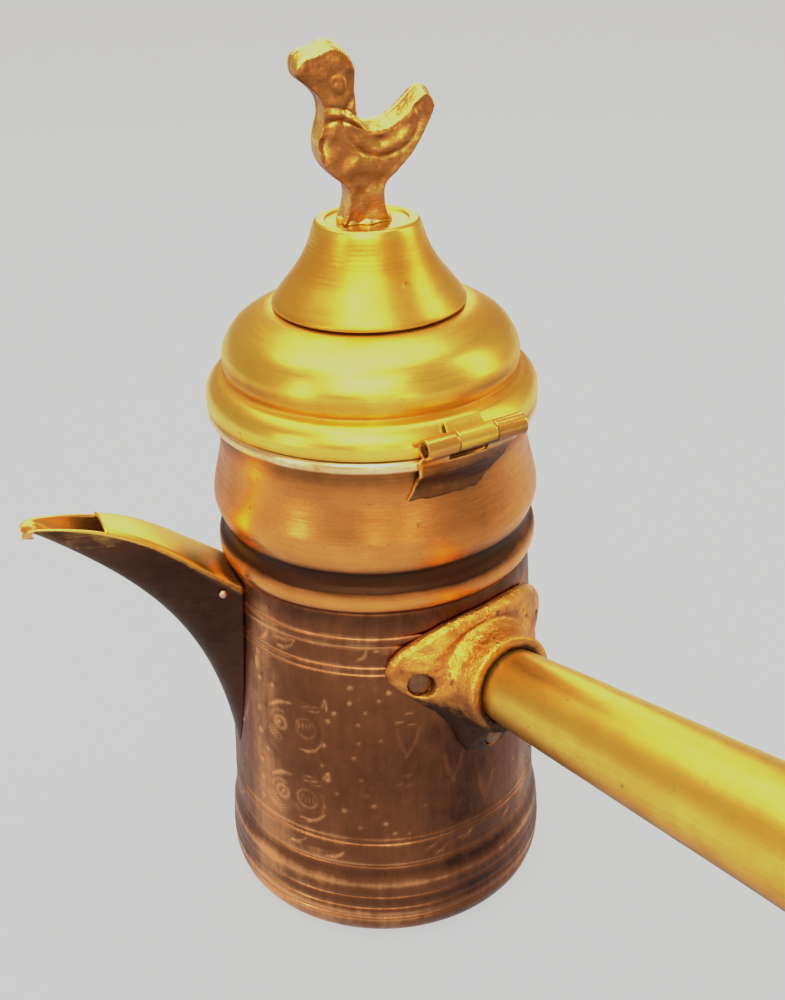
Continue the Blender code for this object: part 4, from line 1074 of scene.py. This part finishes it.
def build_spout_cover():
    t = np.linspace(0, COVER_END, 64)
    top = spout_top(t)
    ahead = np.gradient(top, axis=0)
    ahead /= np.linalg.norm(ahead, axis=1, keepdims=True)
    up = np.stack([-ahead[:, 1], ahead[:, 0]], 1)
    across = np.linspace(-1, 1, 17)
    rows = []
    for i in range(len(t)):
        half_width = spout_half_width(t[i]) + 0.0002 + 0.0004 * (i == len(t) - 1)
        crown = 0.00055 * (1 - across**2)
        skew = 0.0006 * across * unit((i - 50) / 13)
        over = top[i] + up[i] * crown[:, None] + ahead[i] * skew[:, None]
        under = over - up[i] * COVER_THICKNESS
        for edge in (over, under):
            edge[[0, -1]] = (over[[0, -1]] + under[[0, -1]]) / 2
        sides = across * half_width
        loop = np.concatenate([over, under[::-1]])
        rows.append(on_spout(loop[:, 0], np.concatenate([sides, sides[::-1]]), loop[:, 1], t[i]))
    rings = np.array(rows)
    rings[..., 2] += 0.10 * MM * lumps(rings, 0.010, 103)
    wear_and_highlight = np.zeros(rings.shape[:2])
    wear_and_highlight[62:] = 0.1
    make_piece("spout_cover_bowed", rings, capped_grid(rings), MAT_COVER, "pot",
               ["spout_cover"], masks={"wear_and_highlight": wear_and_highlight})


def build_spout_pins():
    for name, side in (("spout_pin_near", -1), ("spout_pin_far", 1)):
        low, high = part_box(name)
        surface = low.y if side < 0 else high.y
        place = Vector(((low.x + high.x) / 2, surface - side * 0.0008, (low.z + high.z) / 2))
        dome = [(0.0012 * math.sin(a), 0.0009 * math.cos(a)) for a in np.linspace(0.08, 1.57, 9)]
        shank = [(0.0006, -0.0002), (0.0006, -0.0020), (0.0001, -0.0020)]
        rings = turned_points(dome + shank, PIN_COLUMNS)
        rings[..., 2] += 0.12 * MM * lumps(rings, 0.0009, 104) * (rings[..., 2] > 0)
        turned_piece(name + "_peened", rings, MAT_PIN, "pot", [name],
                     frame_along(place, Vector((0, side, 0))))


# ---------------------------------------------------------------- hinge


def hinge_frame():
    """Frame on the hinge's axis: X along it, away from the handle, Y out from the pot, Z up."""
    y = around(HINGE_AZIMUTH, 1, 0)
    z = Vector((0, 0, 1))
    matrix = Matrix((y.cross(z), y, z)).transposed().to_4x4()
    matrix.translation = Vector(HINGE["pos_m"])
    return matrix


def rolled(start, stop):
    radius = HINGE_RADIUS - HINGE_SHEET / 2
    turns = np.radians(np.linspace(start, stop, ROLL_STEPS))
    return np.stack([radius * np.cos(turns), radius * np.sin(turns)], 1)


def sheet_piece(name, middle, keep, material, body, node, masks):
    """A sheet of the hinge's thickness along a grid of middle points, where `keep` leaves faces."""
    rows, columns = middle.shape[:2]
    cells = grid_faces(rows, columns, wrap_columns=False)
    faces = [face for face, kept in zip(cells, np.ravel(keep)) if kept]
    used, index = np.unique(faces, return_inverse=True)
    sheet = mesh_of(name, middle.reshape(-1, 3)[used], index.reshape(-1, 4).tolist())
    piece = linked(name, sheet)
    thick = piece.modifiers.new("thick", "SOLIDIFY")
    thick.thickness = HINGE_SHEET * 0.94
    thick.offset = 0
    edge = piece.modifiers.new("edge", "BEVEL")
    edge.width = 0.00016
    edge.segments = 2
    edge.angle_limit = math.radians(50)
    solid = evaluated(piece)
    points = vertex_values(solid, "co")
    make_piece(name, points, face_lists(solid), material, body, [node], hinge_frame(), masks)


# Half widths of the neck leaf against height from the hinge's axis, in millimetres
LEAF_LEFT = ((2.7, 14.0), (0, 14.0), (-3.7, 13.4), (-6.5, 12.6), (-9.5, 12.0), (-12.0, 12.1),
             (-14.5, 13.0), (-16.5, 14.3))
LEAF_RIGHT = ((2.7, 14.0), (-7.0, 14.0), (-9.5, 13.6), (-11.8, 12.6), (-13.2, 10.0), (-14.5, 7.4),
              (-16.5, 4.4))
ROLL_STEPS = 44
HALF_WINDOW = HINGE_MIDDLE / 2 + HINGE_PLAY


def hinge_masks(places, normals):
    """Darker low on the leaves; painted shade under them and in the window; painted highlight on faces
    turned up, a lighter band a little below the roll, and a bright torn edge.
    """
    height = places[:, 2] - HINGE["pos_m"][2]
    across = (places - np.array(hinge_frame().translation)) @ np.array(hinge_frame())[:3, 0]
    patina_and_shade = 0.62 * unit((-height - 0.0045) / 0.006) + 0.35 * unit(0.1 - normals[:, 2])
    in_window = (np.abs(across) < HALF_WINDOW) & (height > -0.0030)
    patina_and_shade += 0.7 * in_window * unit(0.3 - normals[:, 2])
    wear_and_highlight = 0.45 * unit(normals[:, 2]) + 0.30 * (height > -0.0062) * (height < -0.0046)
    edge = np.interp(-height / MM, -np.array(LEAF_LEFT)[:, 0], np.array(LEAF_LEFT)[:, 1]) * MM
    wear_and_highlight += 1.1 * unit((across - edge + 0.0007) / 0.0006) * (height < -0.001)
    return {"patina_and_shade": patina_and_shade, "wear_and_highlight": wear_and_highlight}


def build_neck_leaf():
    ring = RING_BOX[1].y + 0.0003 + HINGE_SHEET / 2 - HINGE_REACH
    neck = NECK_RADIUS + 0.0003 + HINGE_SHEET / 2 - HINGE_REACH
    drop = smooth_line([(-0.0010, -0.0026), ((ring - 0.0012) / 2, -0.0044), (ring + 0.0001, -0.0066),
                        ((ring + neck) / 2 + 0.0005, -0.0098), (neck, -0.0125), (neck, -LEAF_DROP)], 9)
    section = np.vstack([rolled(-75, 215), drop])
    # The sheet's own edge runs from the roll's start, so the drop hangs from the roll's end
    across = np.linspace(-1, 1, 57)
    low = -section[:, 1] / MM
    down = np.where(np.arange(len(section)) < ROLL_STEPS, 0.0, low)
    left = np.interp(down, *(np.array(LEAF_LEFT) * (-1, 1)).T)
    right = np.interp(down, *(np.array(LEAF_RIGHT) * (-1, 1)).T)
    x = np.where(across > 0, across * left[:, None], across * right[:, None]) * MM
    wrap = unit((down - 2.7) / 5.0)[:, None]
    back = (NECK_RADIUS - np.sqrt(NECK_RADIUS**2 - x**2)) * wrap
    ragged = 0.35 * MM * lumps(np.stack([x, 0 * x, 0 * x + section[:, 1:]], -1), 0.0022, 111)
    edge = unit((np.abs(across) - 0.82) / 0.18) * unit((down - 5) / 4)[:, None]
    bottom = unit((down - 14) / 2.5)[:, None]
    heights = section[:, 1:] + ragged * bottom + 0 * x
    middle = np.stack([x + ragged * edge, section[:, :1] - back, heights], -1)
    middle[..., 1] += 0.05 * MM * lumps(middle, 0.004, 112)
    cell_x = (middle[:-1, :-1, 0] + middle[1:, 1:, 0]) / 2
    cell_z = (middle[:-1, :-1, 2] + middle[1:, 1:, 2]) / 2
    keep = (np.abs(cell_x) > HALF_WINDOW) | (cell_z < -0.0056)
    sheet_piece("hinge_leaf_neck", middle, keep, MAT_HINGE, "pot",
                "hinge_leaf_body", hinge_masks)


def build_cover_leaf():
    centre = np.array([DOME_BOX[1].y - 0.0056 - HINGE_REACH, MOUTH + 0.0003 + 0.0031 - HINGE["pos_m"][2]])
    clear = 0.0006 + HINGE_SHEET / 2
    tab = [centre + ((0.0056 + clear) * math.cos(a), (0.0050 + clear) * math.sin(a))
           for a in np.radians(np.linspace(20, 54, 12))]
    section = np.vstack([rolled(-190, 96), tab])
    half = HINGE_MIDDLE / 2
    narrowing = 1 - 0.10 * unit((np.arange(len(section)) - ROLL_STEPS) / 11)[:, None] ** 4
    x = np.linspace(-half, half, 25)[None, :] * narrowing
    middle = np.stack([x, section[:, :1] + 0 * x, section[:, 1:] + 0 * x], -1)
    middle[..., 1] += 0.04 * MM * lumps(middle, 0.003, 113)
    sheet_piece("hinge_leaf_cover", middle, np.ones((55, 24)), MAT_TAB, "lid",
                "hinge_leaf_lid", hinge_masks)


def build_hinge_pin():
    radius = HINGE_RADIUS - HINGE_SHEET - HINGE_PLAY
    end = HINGE_LENGTH / 2 - 0.0015
    cap = [(radius * math.sin(a), end - 0.0004 + 0.0004 * math.cos(a)) for a in np.linspace(0.1, 1.57, 6)]
    rings = turned_points(cap + [(r, -z) for r, z in cap[::-1]], PIN_COLUMNS)
    rings[..., 2] += 0.06 * MM * lumps(rings, 0.0008, 114)
    lie = hinge_frame() @ Matrix.Rotation(math.pi / 2, 4, "Y")
    turned_piece("hinge_pin_worn", rings, MAT_RIVET, "pot", ["hinge_pin"], lie)


def build_collar_and_washer():
    low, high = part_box("lid_collar")
    outside = high.y
    outline = [(outside, low.z + 0.0003), (outside, high.z), (outside - 0.0010, high.z),
               (outside - 0.0010, low.z + 0.0003), (outside - 0.0005, low.z)]
    rings = turned_points(resampled(np.array(outline + outline[:1]), 40)[:-1], UPPER_COLUMNS)
    rings = pushed(rings, 0.10 * MM * lumps(rings, 0.020, 121))
    turned_piece("lid_collar_bent", rings, MAT_INSIDE, "lid", ["lid_collar"],
                 masks=painted_shade_below)

    low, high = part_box("finial_washer")
    outer, bevel = high.y, 0.0002
    outline = [(0.0023, low.z), (outer - bevel, low.z), (outer, low.z + bevel), (outer, high.z - bevel),
               (outer - bevel, high.z), (0.0023, high.z)]
    rings = turned_points(outline, RIVET_COLUMNS)
    turned_piece("finial_washer_turned", rings, MAT_INSIDE, "lid", ["finial_washer"],
                 masks=painted_shade_below)


# ---------------------------------------------------------------- floor, lights and camera


def soft_box(name, place, aim, width, height, radiance, colour=(1, 1, 1)):
    """An area light of a given brightness, turned to face `aim`."""
    data = bpy.data.lights.new(name, "AREA")
    data.shape = "RECTANGLE"
    data.size, data.size_y = width, height
    data.energy = radiance * math.pi * width * height
    data.color = colour
    light = linked(name, data)
    light.location = place
    light.rotation_euler = (Vector(aim) - Vector(place)).to_track_quat("-Z", "Y").to_euler()


def build_stage():
    half = 3.0
    corners = [(x * half, y * half, 0) for x, y in ((-1, -1), (1, -1), (1, 1), (-1, 1))]
    mesh = mesh_of("floor", corners, [range(4)])
    floor = linked("floor", mesh)
    floor.location.z = BODY_BOX[0].z - 0.0002
    paint = bpy.data.materials.new("pale_floor")
    paint.use_nodes = True
    surface = paint.node_tree.nodes["Principled BSDF"].inputs
    surface["Base Color"].default_value = (0.110, 0.125, 0.140, 1)
    surface["Roughness"].default_value = 0.9
    surface["Specular IOR Level"].default_value = 0.1
    surface["Emission Color"].default_value = (1, 1, 1, 1)
    surface["Emission Strength"].default_value = 0.555
    mesh.materials.append(paint)

    world = bpy.data.worlds.new("studio")
    world.use_nodes = True
    world.node_tree.nodes["Background"].inputs["Color"].default_value = (1.0, 0.70, 0.42, 1)
    world.node_tree.nodes["Background"].inputs["Strength"].default_value = 0.45
    bpy.context.scene.world = world

    aim = (0, 0, 0.12)
    soft_box("overhead", (-0.10, 0.15, 1.1), aim, 1.1, 1.1, 2.1, (1.0, 0.97, 0.86))
    soft_box("front_top", (-0.35, -0.75, 0.85), aim, 0.8, 0.6, 2.9, (1.0, 0.96, 0.82))
    soft_box("left_strip", (-0.95, -0.33, 0.35), aim, 0.14, 0.7, 4.0, (1.0, 0.92, 0.76))
    soft_box("right_strip", (0.75, -0.20, 0.45), aim, 0.22, 0.7, 2.4, (1.0, 0.88, 0.70))
    soft_box("window_left", (-0.42, -1.25, 0.30), aim, 0.05, 0.6, 7.0, (1.0, 0.90, 0.70))
    soft_box("window_right", (0.13, -1.30, 0.30), aim, 0.07, 0.6, 6.0, (1.0, 0.90, 0.70))
    soft_box("lamp", (-0.42, -0.30, 1.05), aim, 0.05, 0.05, 40.0)
    soft_box("back", (0.30, 0.85, 0.50), aim, 0.5, 0.5, 1.6, (1.0, 0.95, 0.85))
    set_tone()


def set_tone():
    """A plain view with a soft shoulder, so that bright metal keeps its colour as on film."""
    view = bpy.context.scene.view_settings
    view.view_transform = "Standard"
    view.use_curve_mapping = True
    curve = view.curve_mapping.curves[3]
    curve.points[0].location = (0.0, 0.0)
    curve.points[1].location = (1.0, 0.645)
    for level, shown in ((0.30, 0.30), (0.50, 0.495), (0.66, 0.60), (0.85, 0.630)):
        curve.points.new(level, shown)
    view.curve_mapping.extend = "HORIZONTAL"
    view.curve_mapping.update()


def build_camera():
    """A hand-held view from in front and above, rolled by a degree and a half."""
    place = Vector((-0.101236, -0.311573, 0.290556))
    ahead = Vector((0.285398, 0.838145, -0.464832)).normalized()
    roll = math.radians(-1.518)
    right = ahead.cross(Vector((0, 0, 1))).normalized()
    up = right.cross(ahead)
    right, up = math.cos(roll) * right + math.sin(roll) * up, math.cos(roll) * up - math.sin(roll) * right
    data = bpy.data.cameras.new("camera")
    data.sensor_fit = "VERTICAL"
    data.sensor_height = 24.0
    data.sensor_width = 24.0
    data.lens = 31.97
    data.clip_start = 0.01
    camera = linked("camera", data)
    turn = Matrix((right, up, -ahead)).transposed().to_4x4()
    turn.translation = place
    camera.matrix_world = turn
    bpy.context.scene.camera = camera


build_lower_body()
build_upper_body()
build_mouth_ring()
build_dome()
build_cone()
build_bird()
build_bracket()
build_rivets()
build_handle()
build_spout()
build_spout_cover()
build_spout_pins()
build_neck_leaf()
build_cover_leaf()
build_hinge_pin()
build_collar_and_washer()
build_stage()
build_camera()
